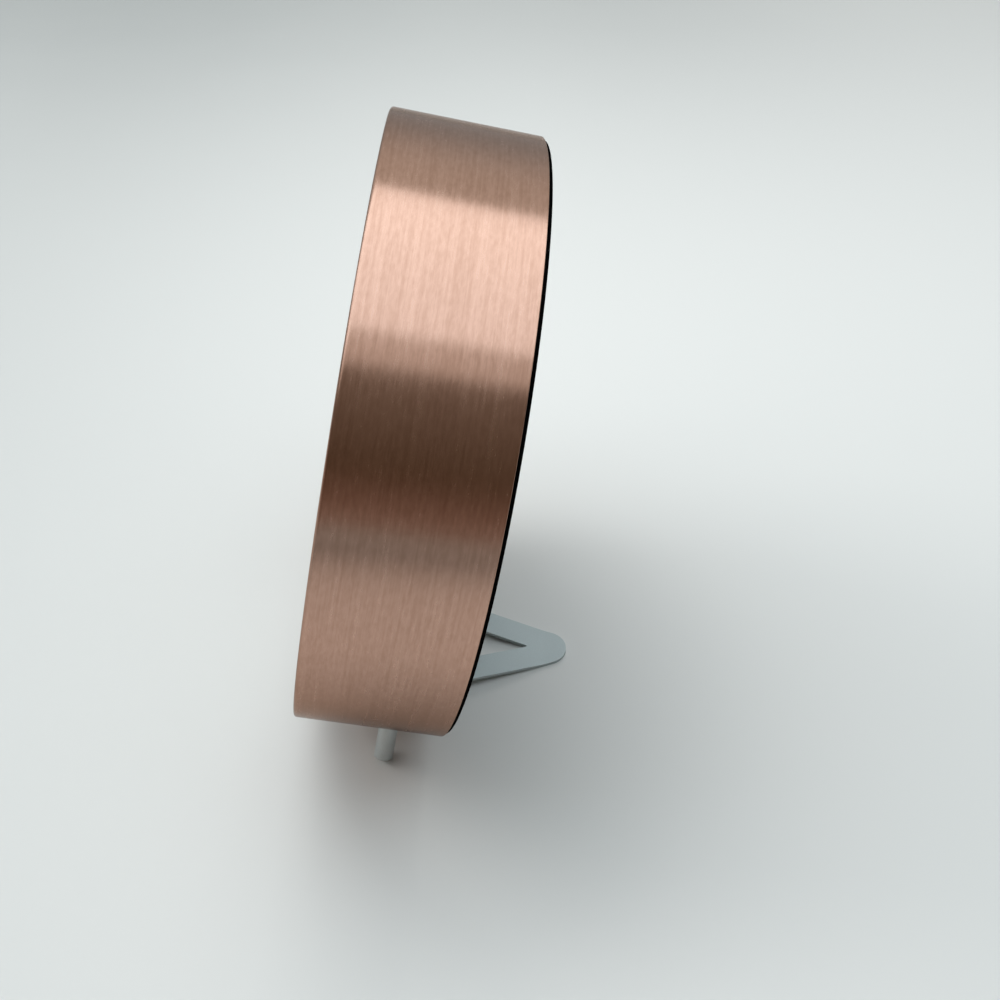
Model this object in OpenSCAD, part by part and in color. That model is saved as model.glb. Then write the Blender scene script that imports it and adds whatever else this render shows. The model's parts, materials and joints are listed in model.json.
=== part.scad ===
// Table clock: a drum case with a copper-coloured band, two peg feet and a bent sheet leg behind.
// Sizes are in millimetres. The clock faces -Y, leans back towards +Y and stands on Z = 0.
// Every piece but the leg is drawn in the dial frame: x to the right as the face is read,
// y up to twelve o'clock, z towards the reader, with z = 0 at the rear edge of the band.
// The module standing() then tips that frame back and sets it on its feet.

/* [Case] */
// outside diameter of the band
case_d = 160; // [140:1:240]
// depth of the band, front rim to rear edge
case_depth = 38; // [34:0.5:60]
// sheet thickness of the band
band_wall = 1.2; // [1:0.1:2]
// width of the front rim, measured inwards from the outside of the band
rim_w = 3; // [2.5:0.1:5]
// thickness of the front rim
rim_t = 1.2; // [0.8:0.1:2]
// radius of the rounded edge between band and front rim
rim_round = 0.8; // [0.2:0.1:0.9]
// angle the clock leans back from upright
lean = 12; // [8:0.5:16]
// gap round the pieces that drop into the band
drop_in_gap = 0.3; // [0.1:0.05:0.5]

/* [Glass and dial] */
// thickness of the lens
lens_t = 2; // [1.5:0.1:3]
// height of the space for the hands, dial to lens
hand_room = 11; // [10.6:0.1:16]
// wall of the spacer ring at the lens
spacer_wall = 2; // [1.2:0.1:4]
// how much wider the spacer ring is at the dial
spacer_flare = 1.5; // [0.5:0.1:4]
// thickness of the dial
dial_t = 0.8; // [0.5:0.1:1.5]
// thickness of the carrier plate behind the dial
carrier_plate_t = 2.5; // [1.5:0.1:4]
// thickness of the carrier at its middle, where the movement is clamped
carrier_pad_t = 6; // [5:0.1:6.4]
// diameter of the thick middle of the carrier
carrier_pad_d = 66; // [60:1:80]
// diameter of the four carrier bosses
boss_d = 8; // [6:0.5:12]
// distance of the carrier bosses from the centre
boss_circle_r = 64; // [50:1:64]

/* [Back cover] */
// thickness of the back cover
cover_t = 2; // [1.6:0.1:3]
// how far the cover stands out behind the band
cover_proud = 1; // [0.6:0.1:1.4]
// step from the outside of the band in to the edge of the cover
cover_inset = 0.7; // [0.2:0.1:0.8]
// height of the rim that locates the cover inside the band
plug_h = 3; // [2:0.5:5]
// wall of that rim
plug_wall = 1.5; // [1:0.1:3]
// gap round the movement in the cover window
window_gap = 0.6; // [0.3:0.1:1]
// wall of the collar round the window, inside the cover
collar_wall = 1.2; // [0.8:0.1:2]
// height of that collar
collar_h = 2; // [1:0.1:4]

/* [Screws] */
// shank diameter of the case screws
screw_d = 3; // [2.5:0.1:4]
// radial clearance of a screw in its hole
screw_gap = 0.05; // [0.02:0.01:0.1]
// head diameter of the case screws
screw_head_d = 5.6; // [5:0.1:7]
// head height of the case screws
screw_head_h = 1.6; // [1.2:0.1:2.4]
// length of the shank of a cover screw
cover_screw_l = 10; // [6:0.5:14]
// length of the shank of a leg screw
leg_screw_l = 7; // [5:0.5:7.5]
// width of the slots of the cross recess
recess_w = 0.8; // [0.5:0.1:1]
// depth of the cross recess
recess_depth = 0.8; // [0.4:0.1:1]

/* [Feet] */
// diameter of a peg foot
foot_d = 5.5; // [4:0.1:8]
// length of a peg foot below the band
foot_l = 17; // [14:0.1:24]
// angle of each peg foot from six o'clock
foot_angle = 26.5; // [18:0.5:35]
// distance of the peg axis from the rear edge of the band
foot_from_rear = 12; // [9:0.1:12]
// chamfer at the end of a peg foot
foot_chamfer = 0.4; // [0.1:0.1:1]
// diameter of the threaded stud on a peg foot
stud_d = 3; // [2.5:0.1:3.5]
// radial clearance of the stud in its hole, washer and nut
stud_gap = 0.05; // [0.02:0.01:0.1]
// gap between peg foot and band
foot_seat = 0.02; // [0:0.01:0.1]
// how far the stud comes through its nut
stud_past_nut = 1.2; // [0.5:0.1:3]
// diameter of a foot washer
foot_washer_d = 7; // [6:0.1:9]
// thickness of a foot washer
foot_washer_t = 0.5; // [0.3:0.1:1]
// width across flats of a foot nut
foot_nut_w = 5.5; // [5:0.1:7]
// thickness of a foot nut
foot_nut_t = 2.4; // [1.8:0.1:3]

/* [Rear leg] */
// thickness of the leg sheet
leg_t = 1; // [0.8:0.1:2]
// width of each arm of the leg, square to its edges
leg_arm_w = 8.5; // [7:0.1:12]
// half the angle between the arms, seen from above
leg_half_angle = 20; // [16:0.5:28]
// radius of the rounded toe
leg_toe_r = 6.7; // [6:0.1:8.4]
// length of the flat toe that lies on the table
leg_toe_l = 7; // [5:0.1:9]
// level distance from the centre of the rear edge of the band back to the tip of the toe
leg_reach = 24.8; // [23:0.1:40]
// inside radius of the bend at the cover
leg_bend_r = 1.5; // [0.8:0.1:3]
// how far the underside of the leg lies inside the bottom of the band at the bend, below it if negative
leg_inset = -1.1; // [-2:0.1:4]
// height of the arms up the cover, bend to screw
leg_rise = 16; // [12:0.5:22]
// diameter of the bosses for the leg screws, inside the cover
leg_boss_d = 7; // [6:0.5:10]
// height of those bosses
leg_boss_h = 7; // [6:0.5:9]

/* [Movement case] */
// width and height of the movement
movement_w = 56; // [50:0.5:60]
// thickness of the movement
movement_t = 16; // [16:0.1:18]
// corner radius of the movement
movement_round = 3; // [1:0.1:5]
// wall of the movement case
movement_wall = 1.2; // [0.8:0.1:1.2]
// thickness of the movement cover
movement_cover_t = 1.5; // [1.2:0.1:1.5]
// thickness of the rubber washer in front of the movement
rubber_t = 0.5; // [0.3:0.1:1]
// diameter of the rubber washer
rubber_d = 30; // [20:1:40]
// diameter of the threaded bush
bush_d = 8; // [7.4:0.1:10]
// radial gap round the bush in carrier, dial, washers and nut
bush_gap = 0.1; // [0.05:0.05:0.3]
// how far the bush stands in front of the dial
bush_h = 4.5; // [4:0.1:4.7]
// diameter of the washer under the bush nut
bush_washer_d = 14; // [12:0.5:18]
// thickness of that washer
bush_washer_t = 0.5; // [0.3:0.1:1]
// width across flats of the bush nut
bush_nut_w = 11; // [11:0.1:14]
// thickness of the bush nut
bush_nut_t = 2.5; // [1.5:0.1:3]

/* [Battery] */
// diameter of the battery
battery_d = 14.2; // [12:0.1:15]
// length of the battery without its stud
battery_l = 49.2; // [44:0.1:56]
// diameter of the positive stud of the battery
battery_stud_d = 5.4; // [5:0.1:6]
// length of the positive stud of the battery
battery_stud_l = 1.2; // [1:0.1:1.4]
// gap between the battery and the sides of its bay
bay_gap = 0.6; // [0.3:0.1:1]
// room for a contact at each end of the battery
contact_room = 1.6; // [1.2:0.1:3]
// distance of the bay below the centre of the clock
bay_drop = 11.4; // [11.4:0.1:14]
// wall between battery bay and wheels
bay_wall = 1; // [0.6:0.1:1]
// width and height of a battery contact
contact_w = 9; // [6:0.5:12]
// sheet thickness of a battery contact
contact_t = 0.3; // [0.2:0.05:0.4]

/* [Wheels] */
// thickness of the wheels and pinions
wheel_t = 1.1; // [0.8:0.1:1.2]
// radius of the thin arbors
arbor_r = 0.5; // [0.4:0.05:0.6]
// radial running clearance of arbors and tubes
running_gap = 0.06; // [0.03:0.01:0.08]
// outside radius of the minute arbor
minute_arbor_r = 1.3; // [1.2:0.05:1.4]
// outside radius of the hour tube
hour_tube_r = 2.2; // [2.1:0.05:2.3]
// centre distance of second pinion and third wheel
third_distance = 10.2; // [9.8:0.1:10.4]
// centre distance of second wheel and intermediate pinion
intermediate_distance = 10.8; // [10.6:0.1:11]
// centre distance of intermediate wheel and rotor pinion
rotor_distance = 7.84; // [7.6:0.02:8]
// centre distance of minute arbor and motion wheel
motion_distance = 8.4; // [8.2:0.1:8.6]
// centre distance of motion wheel and setting pinion
setting_distance = 8.4; // [8.2:0.1:8.6]

/* [Motor and board] */
// radius of the rotor magnet
magnet_r = 2.3; // [2:0.1:2.4]
// air gap between rotor magnet and stator
air_gap = 0.3; // [0.2:0.05:0.5]
// thickness of the stator and core strips
strip_t = 0.8; // [0.6:0.05:0.85]
// radius of the coil winding
coil_r = 2.3; // [1.8:0.1:2.4]
// radius of the bobbin flanges
bobbin_r = 2.5; // [2.5:0.05:2.6]
// length of the circuit board
board_l = 21; // [16:0.5:21]
// height of the circuit board
board_h = 10; // [8:0.5:10.5]
// thickness of the circuit board
board_t = 0.8; // [0.6:0.1:1]
// radius of the quartz crystal can
crystal_r = 1; // [0.8:0.1:1.2]
// length of the quartz crystal can
crystal_l = 6; // [5:0.5:8]

/* [Setting knob] */
// diameter of the setting knob
knob_d = 13; // [10:0.5:14]
// height of the setting knob
knob_h = 4; // [3:0.1:5]
// number of grooves round the setting knob
knob_grooves = 18; // [12:1:24]
// radius of the setting arbor
setting_arbor_r = 1.45; // [1.3:0.05:1.5]

/* [Hands] */
// hour shown by the hands
show_hour = 10; // [0:1:11]
// minute shown by the hands
show_minute = 9; // [0:1:59]
// second shown by the hands
show_second = 36; // [0:1:59]
// length of the hour hand
hour_hand_l = 43; // [30:1:54]
// width of the hour hand
hour_hand_w = 5; // [3:0.1:7]
// length of the minute hand
minute_hand_l = 63; // [45:1:65]
// width of the minute hand
minute_hand_w = 4; // [2.5:0.1:6]
// length of the second hand
second_hand_l = 66; // [45:1:66]
// width of the second hand
second_hand_w = 1.4; // [0.8:0.1:2]
// thickness of the hour and minute hands
hand_t = 0.6; // [0.4:0.05:0.8]
// tail of the hour and minute hands behind the centre
hand_tail = 13; // [6:0.5:18]
// tail of the second hand behind the centre
second_tail = 21; // [10:0.5:26]

/* [Hidden] */
$fn = 96;
case_r = case_d / 2;
band_in_r = case_r - band_wall;
drop_in_r = band_in_r - drop_in_gap;

// small sizes shared by several pieces
lap = 0.1;
press_gap = 0.02;
end_gap = 0.3;
end_play = 0.2;
pin_gap = 0.06;
recess_l = 3.2;
carrier_rim = 2;
notch_gap = 0.5;

// a flat washer touches the round inside of the band at its edge
foot_washer_out_r = sqrt(pow(band_in_r, 2) - pow(foot_washer_d / 2, 2)) - press_gap;
foot_washer_in_r = foot_washer_out_r - foot_washer_t;
foot_nut_in_r = foot_washer_in_r - foot_nut_t;

// heights of the stack in the dial frame
lens_front_z = case_depth - rim_t;
lens_back_z = lens_front_z - lens_t;
dial_front_z = lens_back_z - hand_room;
dial_back_z = dial_front_z - dial_t;
pad_back_z = dial_back_z - carrier_pad_t;
movement_front_z = pad_back_z - rubber_t;
movement_back_z = movement_front_z - movement_t;
cover_out_z = -cover_proud;
cover_in_z = cover_t - cover_proud;

// where the drum stands
foot_end_r = case_r + foot_l;
foot_edge_r = foot_d / 2 - foot_chamfer;
foot_dip = foot_edge_r * sqrt(1 - pow(cos(foot_angle) * cos(lean), 2));
stand_z0 = foot_end_r * cos(foot_angle) * cos(lean) - foot_from_rear * sin(lean) + foot_dip;
front_y = (case_r - rim_round) * sin(lean) + (case_depth - rim_round) * cos(lean) + rim_round;
stand_y0 = (front_y - leg_reach) / 2;

// points of the dial frame, seen in the standing frame
function stood_y(y, z) = y * sin(lean) - z * cos(lean) + stand_y0;
function stood_z(y, z) = y * cos(lean) + z * sin(lean) + stand_z0;

// rear leg: centre of the bend, slope of the arms, plan of the arms
leg_bend_out = leg_bend_r + leg_t;
bend_dial_y = leg_inset - case_r + leg_bend_out;
bend_dial_z = cover_out_z - leg_bend_out;
bend_y = stood_y(bend_dial_y, bend_dial_z);
bend_z = stood_z(bend_dial_y, bend_dial_z);
toe_tip_y = stand_y0 + leg_reach;
toe_start_y = toe_tip_y - leg_toe_l;
toe_away = sqrt(pow(bend_z, 2) + pow(toe_start_y - bend_y, 2));
leg_slope = atan2(bend_z, toe_start_y - bend_y) - asin(leg_bend_out / toe_away);
toe_centre_y = toe_tip_y - leg_toe_r;
arm_end_y = bend_y - leg_bend_r * sin(leg_slope);

// distance of a line along the arm from the clock's middle plane, at the level of y
function arm_x(off, y) = (off + (toe_centre_y - y) * sin(leg_half_angle)) / cos(leg_half_angle);
arm_out_x = arm_x(leg_toe_r, arm_end_y);
arm_in_x = arm_x(leg_toe_r - leg_arm_w, arm_end_y);
arm_mid_x = (arm_out_x + arm_in_x) / 2;
arm_end_r = (arm_out_x - arm_in_x) / 2;
leg_screw_y = bend_dial_y + leg_rise;
leg_lap = 2;

// inside of the movement, heights of the wheel levels
inner_w = movement_w - 2 * movement_wall;
inner_front_z = movement_front_z - movement_wall;
inner_back_z = movement_back_z + movement_cover_t;
function level(share) = inner_back_z + share * (inner_front_z - inner_back_z);
rotor_level = level(0.04);
second_level = level(0.16);
third_level = level(0.345);
centre_level = level(0.52);
bridge_level = level(0.64);
motion_level = level(0.735);
hour_level = level(0.865);
bridge_t = 0.8;
bearing_skin = 0.5;
bearing_back_z = movement_back_z + bearing_skin;
arbor_back_z = bearing_back_z + end_play;
arbor_front_z = bridge_level + bridge_t;
bush_top_z = dial_front_z + bush_h;
bore_r = arbor_r + running_gap;
stud_r = 0.6;
hub_r = 1.2;
slim_hub_r = 0.72;
clutch_r = 2.2;
clutch_t = 0.6;
setting_collar_r = 2.25;
setting_collar_t = 1;
magnet_over = 0.3;

// battery bay, below the wheels
dimple_r = 1.5;
cell_l = battery_l + battery_stud_l;
bay_l = cell_l + 2 * contact_room;
bay_w = battery_d + 2 * bay_gap;
bay_top_y = -bay_drop;
bay_bottom_y = bay_top_y - bay_w;
battery_y = bay_top_y - bay_w / 2;
battery_z = inner_front_z - end_gap - battery_d / 2;

// tooth counts
second_teeth = 60;
second_pinion = 8;
third_teeth = 60;
third_pinion = 8;
centre_teeth = 64;
intermediate_teeth = 48;
intermediate_pinion = 12;
rotor_pinion = 8;
cannon_pinion = 12;
motion_teeth = 36;
motion_pinion = 10;
hour_teeth = 40;
setting_pinion = 12;

// modules follow from the centre distances
function module_of(distance, a, b) = 2 * distance / (a + b);
third_m = module_of(third_distance, second_pinion, third_teeth);
centre_m = module_of(third_distance, third_pinion, centre_teeth);
second_m = module_of(intermediate_distance, second_teeth, intermediate_pinion);
rotor_m = module_of(rotor_distance, intermediate_teeth, rotor_pinion);
motion_m = module_of(motion_distance, cannon_pinion, motion_teeth);
hour_m = module_of(motion_distance, motion_pinion, hour_teeth);
setting_m = module_of(setting_distance, motion_teeth, setting_pinion);

// directions from one axis to the next, and the axes
third_dir = 75;
intermediate_dir = -10;
rotor_dir = 62;
motion_dir = 180;
setting_dir = 120;
function away(p, distance, dir) = [p[0] + distance * cos(dir), p[1] + distance * sin(dir)];
third_at = away([0, 0], third_distance, third_dir);
intermediate_at = away([0, 0], intermediate_distance, intermediate_dir);
rotor_at = away(intermediate_at, rotor_distance, rotor_dir);
motion_at = away([0, 0], motion_distance, motion_dir);
setting_at = away(motion_at, setting_distance, setting_dir);

// tooth shapes: addendum and dedendum in modules, then half widths at root, pitch and tip in pitches
wheel_tooth = [0.9, 1.2, 0.26, 0.20, 0.09];
pinion_tooth = [0.7, 1.3, 0.20, 0.18, 0.08];

// turn of gear b that puts a gap of b opposite a tooth of gear a, which has a tooth at angle a_turn
function mesh_turn(dir, a_turn, a, b) = dir + 180 + 180 / b + (dir - a_turn) * a / b;

// bridge plate: how far it reaches beyond the outermost axes, and the posts it sits on
bridge_edge = 4.2;
bridge_post_r = 1.6;
bridge_pin_r = 0.8;
bridge_low_y = intermediate_at[1] - 1.5 * bridge_edge;
bridge_high_y = third_at[1] + bridge_edge;
bridge_left_x = setting_at[0] - 1.4 * bridge_edge;
bridge_right_x = rotor_at[0] + bridge_edge;
bridge_inset = bridge_post_r + end_play;
bridge_posts = [for (x = [bridge_left_x + bridge_inset, bridge_right_x - bridge_inset],
    y = [bridge_low_y + bridge_inset, bridge_high_y - bridge_inset]) [x, y]];

// motor: stator ring round the rotor, coil beside it
ring_w = 1.5;
ring_r = magnet_r + air_gap + ring_w;
strip_w = 2;
coil_x = rotor_at[0] + ring_r + end_gap + bobbin_r;
core_z = level(0.19);
stator_z = core_z + strip_t;
strip_low_y = bay_wall - bay_drop + end_play;
arm_rise = 9;
strip_high_y = third_at[1] + arm_rise;
coil_low_y = strip_low_y + strip_w + end_play;
coil_high_y = strip_high_y - strip_w - end_play;
stator_post_r = 1;
stator_pin_r = 0.6;
stator_posts = [[coil_x, strip_low_y + strip_w / 2], [coil_x, strip_high_y - strip_w / 2]];
flange_t = 0.8;
bobbin_core_r = 1.5;

// circuit board, on two posts at its upper edge
board_left_x = -8;
board_edge = 1;
board_post_r = 1.2;
board_post_in = 2;
board_back = 1.7;
board_z = inner_front_z - board_back;
board_at = [board_left_x, inner_w / 2 - board_edge - board_h];
chip_r = 2.4;
chip_h = 0.9;

// setting arbor and knob
knob_floor = 1.2;
knob_dish = 0.6;
knob_rim = 2;
groove_r = 0.7;
knob_front_z = movement_back_z - end_gap;
knob_back_z = knob_front_z - knob_h;

// hands: heights of the blades, angles shown
hand_boss_h = 1.1;
second_cap_h = 0.9;
second_hand_t = 0.4;
cap_t = 0.3;
hour_boss_r = 5;
minute_boss_r = 4;
second_boss_r = 2.6;
hand_gap = (hand_room - bush_h - 2 * hand_boss_h - second_cap_h) / 4;
hour_hand_z = bush_top_z + hand_gap;
hour_boss_z = hour_hand_z + hand_boss_h;
minute_hand_z = hour_boss_z + hand_gap;
minute_boss_z = minute_hand_z + hand_boss_h;
second_hand_z = minute_boss_z + hand_gap;
second_cap_z = second_hand_z + second_cap_h;
second_turn = -6 * show_second;
minute_turn = -6 * (show_minute + show_second / 60);
hour_turn = -30 * (show_hour + (show_minute + show_second / 60) / 60);

// tips the dial frame back by the lean and sets it on its feet
module standing() {
    translate([0, stand_y0, stand_z0])
        rotate([90 - lean, 0, 0])
            children();
}

// tube along z from z0 to z1
module tube(r_out, r_in, z0, z1) {
    difference() {
        rod(r_out, z0, z1);
        rod(r_in, z0 - 1, z1 + 1);
    }
}

// round bar along z from z0 to z1
module rod(r, z0, z1) {
    translate([0, 0, z0])
        cylinder(r = r, h = z1 - z0);
}

// rectangle with rounded corners, between two corners
module rounded_rect(low, high, r) {
    size = high - low;
    translate([low[0], low[1] + r])
        square([size[0], size[1] - 2 * r]);
    translate([low[0] + r, low[1]])
        square([size[0] - 2 * r, size[1]]);
    for (x = [low[0] + r, high[0] - r], y = [low[1] + r, high[1] - r])
        translate([x, y])
            circle(r);
}

// plate with the outline of the movement, grown all round by the size grow:
// a rounded square, and the battery bay below it wherever that reaches further
module movement_plate(grow, z0, z1) {
    half = movement_w / 2 + grow;
    bay_half = bay_l / 2 + movement_wall + grow;
    bay_low = bay_bottom_y - movement_wall - grow;
    bay_high = bay_top_y + movement_wall + grow;
    r = movement_round + grow;
    translate([0, 0, z0])
        linear_extrude(z1 - z0)
            union() {
                rounded_rect([-half, -half], [half, half], r);
                rounded_rect([-bay_half, bay_low], [bay_half, bay_high], r);
            }
}

// box given by two corners
module box(a, b) {
    translate(a)
        cube([b[0] - a[0], b[1] - a[1], b[2] - a[2]]);
}

// toothed disc standing on z0, with a tooth at the angle turn
module gear(teeth, m, shape, turn, z0) {
    pitch = 360 / teeth;
    r_root = m * (teeth / 2 - shape[1]);
    r_pitch = m * teeth / 2;
    r_tip = m * (teeth / 2 + shape[0]);
    steps = [[r_root, -shape[2]], [r_pitch, -shape[3]], [r_tip, -shape[4]],
             [r_tip, shape[4]], [r_pitch, shape[3]], [r_root, shape[2]]];
    outline = [for (i = [0:teeth - 1], s = steps)
        [s[0] * cos(turn + pitch * (i + s[1])), s[0] * sin(turn + pitch * (i + s[1]))]];
    translate([0, 0, z0])
        linear_extrude(wheel_t)
            polygon(outline);
}

// screw along +z with the underside of its pan head at z = 0
module pan_screw(l) {
    difference() {
        union() {
            rod(screw_d / 2, -lap, l);
            rod(screw_head_d / 2, -screw_head_h * 0.6, 0);
            translate([0, 0, -screw_head_h])
                cylinder(r1 = screw_head_d * 0.34, r2 = screw_head_d / 2, h = screw_head_h * 0.4);
        }
        for (turn = [0, 90])
            rotate([0, 0, turn])
                translate([-recess_l / 2, -recess_w / 2, -screw_head_h - 1])
                    cube([recess_l, recess_w, 1 + recess_depth]);
    }
}

// copies its children to the four carrier bosses
module at_bosses() {
    for (turn = [45, 135, 225, 315])
        rotate([0, 0, turn])
            translate([boss_circle_r, 0, 0])
                children();
}

// copies its children to the two leg screws
module at_leg_screws() {
    for (side = [-1, 1])
        translate([side * arm_mid_x, leg_screw_y, 0])
            children();
}

// copies its children to the two peg feet, with +z pointing out along the peg axis
module at_feet() {
    for (side = [-1, 1])
        at_foot(side)
            children();
}

// one peg foot: its +z axis starts at the clock's axis and runs out along the peg
module at_foot(side) {
    translate([0, 0, foot_from_rear])
        rotate([0, 0, side * foot_angle])
            rotate([90, 0, 0])
                children();
}

// band of the case with its turned-in front rim
module case_band() {
    color([0.62, 0.40, 0.32])
        standing()
            difference() {
                rotate_extrude()
                    union() {
                        translate([band_in_r, 0])
                            square([band_wall, case_depth - rim_round]);
                        translate([case_r - rim_w, case_depth - rim_t])
                            square([rim_w - rim_round, rim_t]);
                        translate([case_r - rim_round, case_depth - rim_round])
                            circle(rim_round);
                    }
                at_feet()
                    rod(stud_d / 2 + stud_gap, band_in_r - 5, case_r + 1);
            }
}

// flat lens behind the front rim
module lens() {
    color([0.86, 0.90, 0.92, 0.35])
        standing()
            rod(drop_in_r, lens_back_z, lens_front_z);
}

// flared ring that holds the lens off the dial
module spacer_ring() {
    color([0.93, 0.93, 0.92])
        standing()
            rotate_extrude()
                polygon([
                    [drop_in_r, dial_front_z],
                    [drop_in_r, lens_back_z],
                    [drop_in_r - spacer_wall, lens_back_z],
                    [drop_in_r - spacer_wall - spacer_flare, dial_front_z]
                ]);
}

// dial disc
module dial() {
    color([0.95, 0.95, 0.93])
        standing()
            tube(drop_in_r, bush_d / 2 + bush_gap, dial_back_z, dial_front_z);
}

// plate behind the dial, with a thick middle, an outer rim and four screw bosses
module dial_carrier() {
    color([0.16, 0.16, 0.17])
        standing()
            difference() {
                union() {
                    rod(drop_in_r, dial_back_z - carrier_plate_t, dial_back_z);
                    rod(carrier_pad_d / 2, pad_back_z, dial_back_z - carrier_plate_t + lap);
                    tube(drop_in_r, drop_in_r - carrier_rim, pad_back_z,
                        dial_back_z - carrier_plate_t + lap);
                    at_bosses()
                        rod(boss_d / 2, cover_in_z, dial_back_z - carrier_plate_t + lap);
                }
                rod(bush_d / 2 + bush_gap, pad_back_z - 1, dial_back_z + 1);
                at_feet()
                    rod(foot_washer_d / 2 + notch_gap, foot_nut_in_r - stud_past_nut - notch_gap, case_r);
                at_bosses()
                    rod(screw_d / 2 + screw_gap, cover_in_z - 1, cover_out_z + cover_screw_l + 1);
            }
}

// black cover that closes the back, with a square window for the movement
module back_cover() {
    color([0.05, 0.05, 0.055])
        standing()
            difference() {
                union() {
                    rod(case_r - cover_inset, cover_out_z, 0);
                    rod(drop_in_r, -lap, cover_in_z);
                    tube(drop_in_r, drop_in_r - plug_wall, cover_in_z - lap, cover_in_z + plug_h);
                    movement_plate(window_gap + collar_wall, cover_in_z - lap, cover_in_z + collar_h);
                    at_leg_screws()
                        rod(leg_boss_d / 2, cover_in_z - lap, cover_in_z + leg_boss_h);
                }
                movement_plate(window_gap, cover_out_z - 1, cover_in_z + collar_h + 1);
                at_bosses()
                    rod(screw_d / 2 + screw_gap, cover_out_z - 1, cover_in_z + 1);
                at_leg_screws()
                    rod(screw_d / 2 + screw_gap, cover_out_z - 1, cover_in_z + leg_boss_h - 1);
            }
}

// four screws that draw the cover and the carrier together
module cover_screws() {
    color([0.30, 0.30, 0.31])
        standing()
            at_bosses()
                translate([0, 0, cover_out_z])
                    pan_screw(cover_screw_l);
}

// one peg foot with its threaded stud
module peg(side) {
    stud_in_r = foot_nut_in_r - stud_past_nut;
    color([0.60, 0.62, 0.62])
        standing()
            at_foot(side)
                union() {
                    rod(stud_d / 2, stud_in_r, case_r + foot_seat + lap);
                    rod(foot_d / 2, case_r + foot_seat, foot_end_r - foot_chamfer);
                    translate([0, 0, foot_end_r - foot_chamfer])
                        cylinder(r1 = foot_d / 2, r2 = foot_edge_r, h = foot_chamfer);
                }
}

// peg foot on the left as the face is read
module front_foot_left() {
    peg(-1);
}

// peg foot on the right as the face is read
module front_foot_right() {
    peg(1);
}

// washers inside the band
module foot_washers() {
    color([0.70, 0.71, 0.72])
        standing()
            at_feet()
                tube(foot_washer_d / 2, stud_d / 2 + stud_gap, foot_washer_in_r, foot_washer_out_r);
}

// hexagon nuts inside the band
module foot_nuts() {
    color([0.66, 0.67, 0.68])
        standing()
            at_feet()
                difference() {
                    translate([0, 0, foot_nut_in_r])
                        cylinder(d = foot_nut_w / cos(30), h = foot_nut_t, $fn = 6);
                    rod(stud_d / 2 + stud_gap, foot_nut_in_r - 1, foot_washer_in_r + 1);
                }
}

// outline of the leg seen from the side, as [y, z]: start of the upright, bend, sloping arm, flat toe
module leg_side() {
    bend = [bend_y, bend_z];
    up = leg_lap * [sin(lean), cos(lean)];
    steps = 10;
    turn = (90 + lean - leg_slope) / steps;
    rays = [for (i = [0:steps]) [cos(180 - lean + turn * i), sin(180 - lean + turn * i)]];
    polygon(concat(
        [bend + leg_bend_out * rays[0] + up],
        [for (i = [0:steps]) bend + leg_bend_out * rays[i]],
        [[toe_start_y, 0], [toe_tip_y, 0], [toe_tip_y, leg_t]],
        [[toe_start_y + leg_t * tan(leg_slope / 2), leg_t]],
        [for (i = [0:steps]) bend + leg_bend_r * rays[steps - i]],
        [bend + leg_bend_r * rays[0] + up]
    ));
}

// outline of the leg seen from above, as [x, y]: round toe, two arms and their straight ends
module leg_plan() {
    far_y = bend_y - leg_bend_out - leg_lap;
    translate([0, toe_centre_y])
        circle(leg_toe_r);
    tangent_x = leg_toe_r * cos(leg_half_angle);
    tangent_y = toe_centre_y + leg_toe_r * sin(leg_half_angle);
    apex_y = toe_centre_y - (leg_arm_w - leg_toe_r) / sin(leg_half_angle);
    for (side = [-1, 1]) {
        polygon([
            [0, tangent_y],
            [side * tangent_x, tangent_y],
            [side * arm_out_x, arm_end_y],
            [side * arm_in_x, arm_end_y],
            [0, apex_y]
        ]);
        polygon([
            [side * arm_in_x, arm_end_y + 0.001],
            [side * arm_out_x, arm_end_y + 0.001],
            [side * arm_out_x, far_y],
            [side * arm_in_x, far_y]
        ]);
    }
}

// bent sheet leg: two arms from the cover to a common flat toe
module rear_leg() {
    color([0.55, 0.57, 0.57])
        union() {
            intersection() {
                rotate([90, 0, 90])
                    translate([0, 0, -case_r])
                        linear_extrude(case_d)
                            leg_side();
                translate([0, 0, -leg_lap])
                    linear_extrude(case_r)
                        leg_plan();
            }
            standing()
                difference() {
                    union() {
                        for (side = [-1, 1])
                            translate([side * arm_mid_x - arm_end_r, bend_dial_y + leg_lap / 2,
                                cover_out_z - leg_t])
                                cube([2 * arm_end_r, leg_rise - leg_lap / 2, leg_t]);
                        at_leg_screws()
                            rod(arm_end_r, cover_out_z - leg_t, cover_out_z);
                    }
                    at_leg_screws()
                        rod(screw_d / 2 + screw_gap, cover_out_z - leg_t - 1, cover_out_z + 1);
                }
        }
}

// two screws that hold the leg on the cover
module leg_screws() {
    color([0.30, 0.30, 0.31])
        standing()
            at_leg_screws()
                translate([0, 0, cover_out_z - leg_t])
                    pan_screw(leg_screw_l);
}

// rubber washer between movement and carrier
module movement_washer() {
    color([0.08, 0.08, 0.08])
        standing()
            tube(rubber_d / 2, bush_d / 2 + bush_gap, movement_front_z, pad_back_z);
}

// flat washer on the dial, under the bush nut
module bush_washer() {
    color([0.78, 0.66, 0.36])
        standing()
            tube(bush_washer_d / 2, bush_d / 2 + bush_gap, dial_front_z, dial_front_z + bush_washer_t);
}

// hexagon nut that clamps dial, carrier and movement together
module bush_nut() {
    nut_z = dial_front_z + bush_washer_t;
    color([0.80, 0.68, 0.38])
        standing()
            difference() {
                translate([0, 0, nut_z])
                    cylinder(d = bush_nut_w / cos(30), h = bush_nut_t, $fn = 6);
                rod(bush_d / 2 + bush_gap, nut_z - 1, nut_z + bush_nut_t + 1);
            }
}

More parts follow.
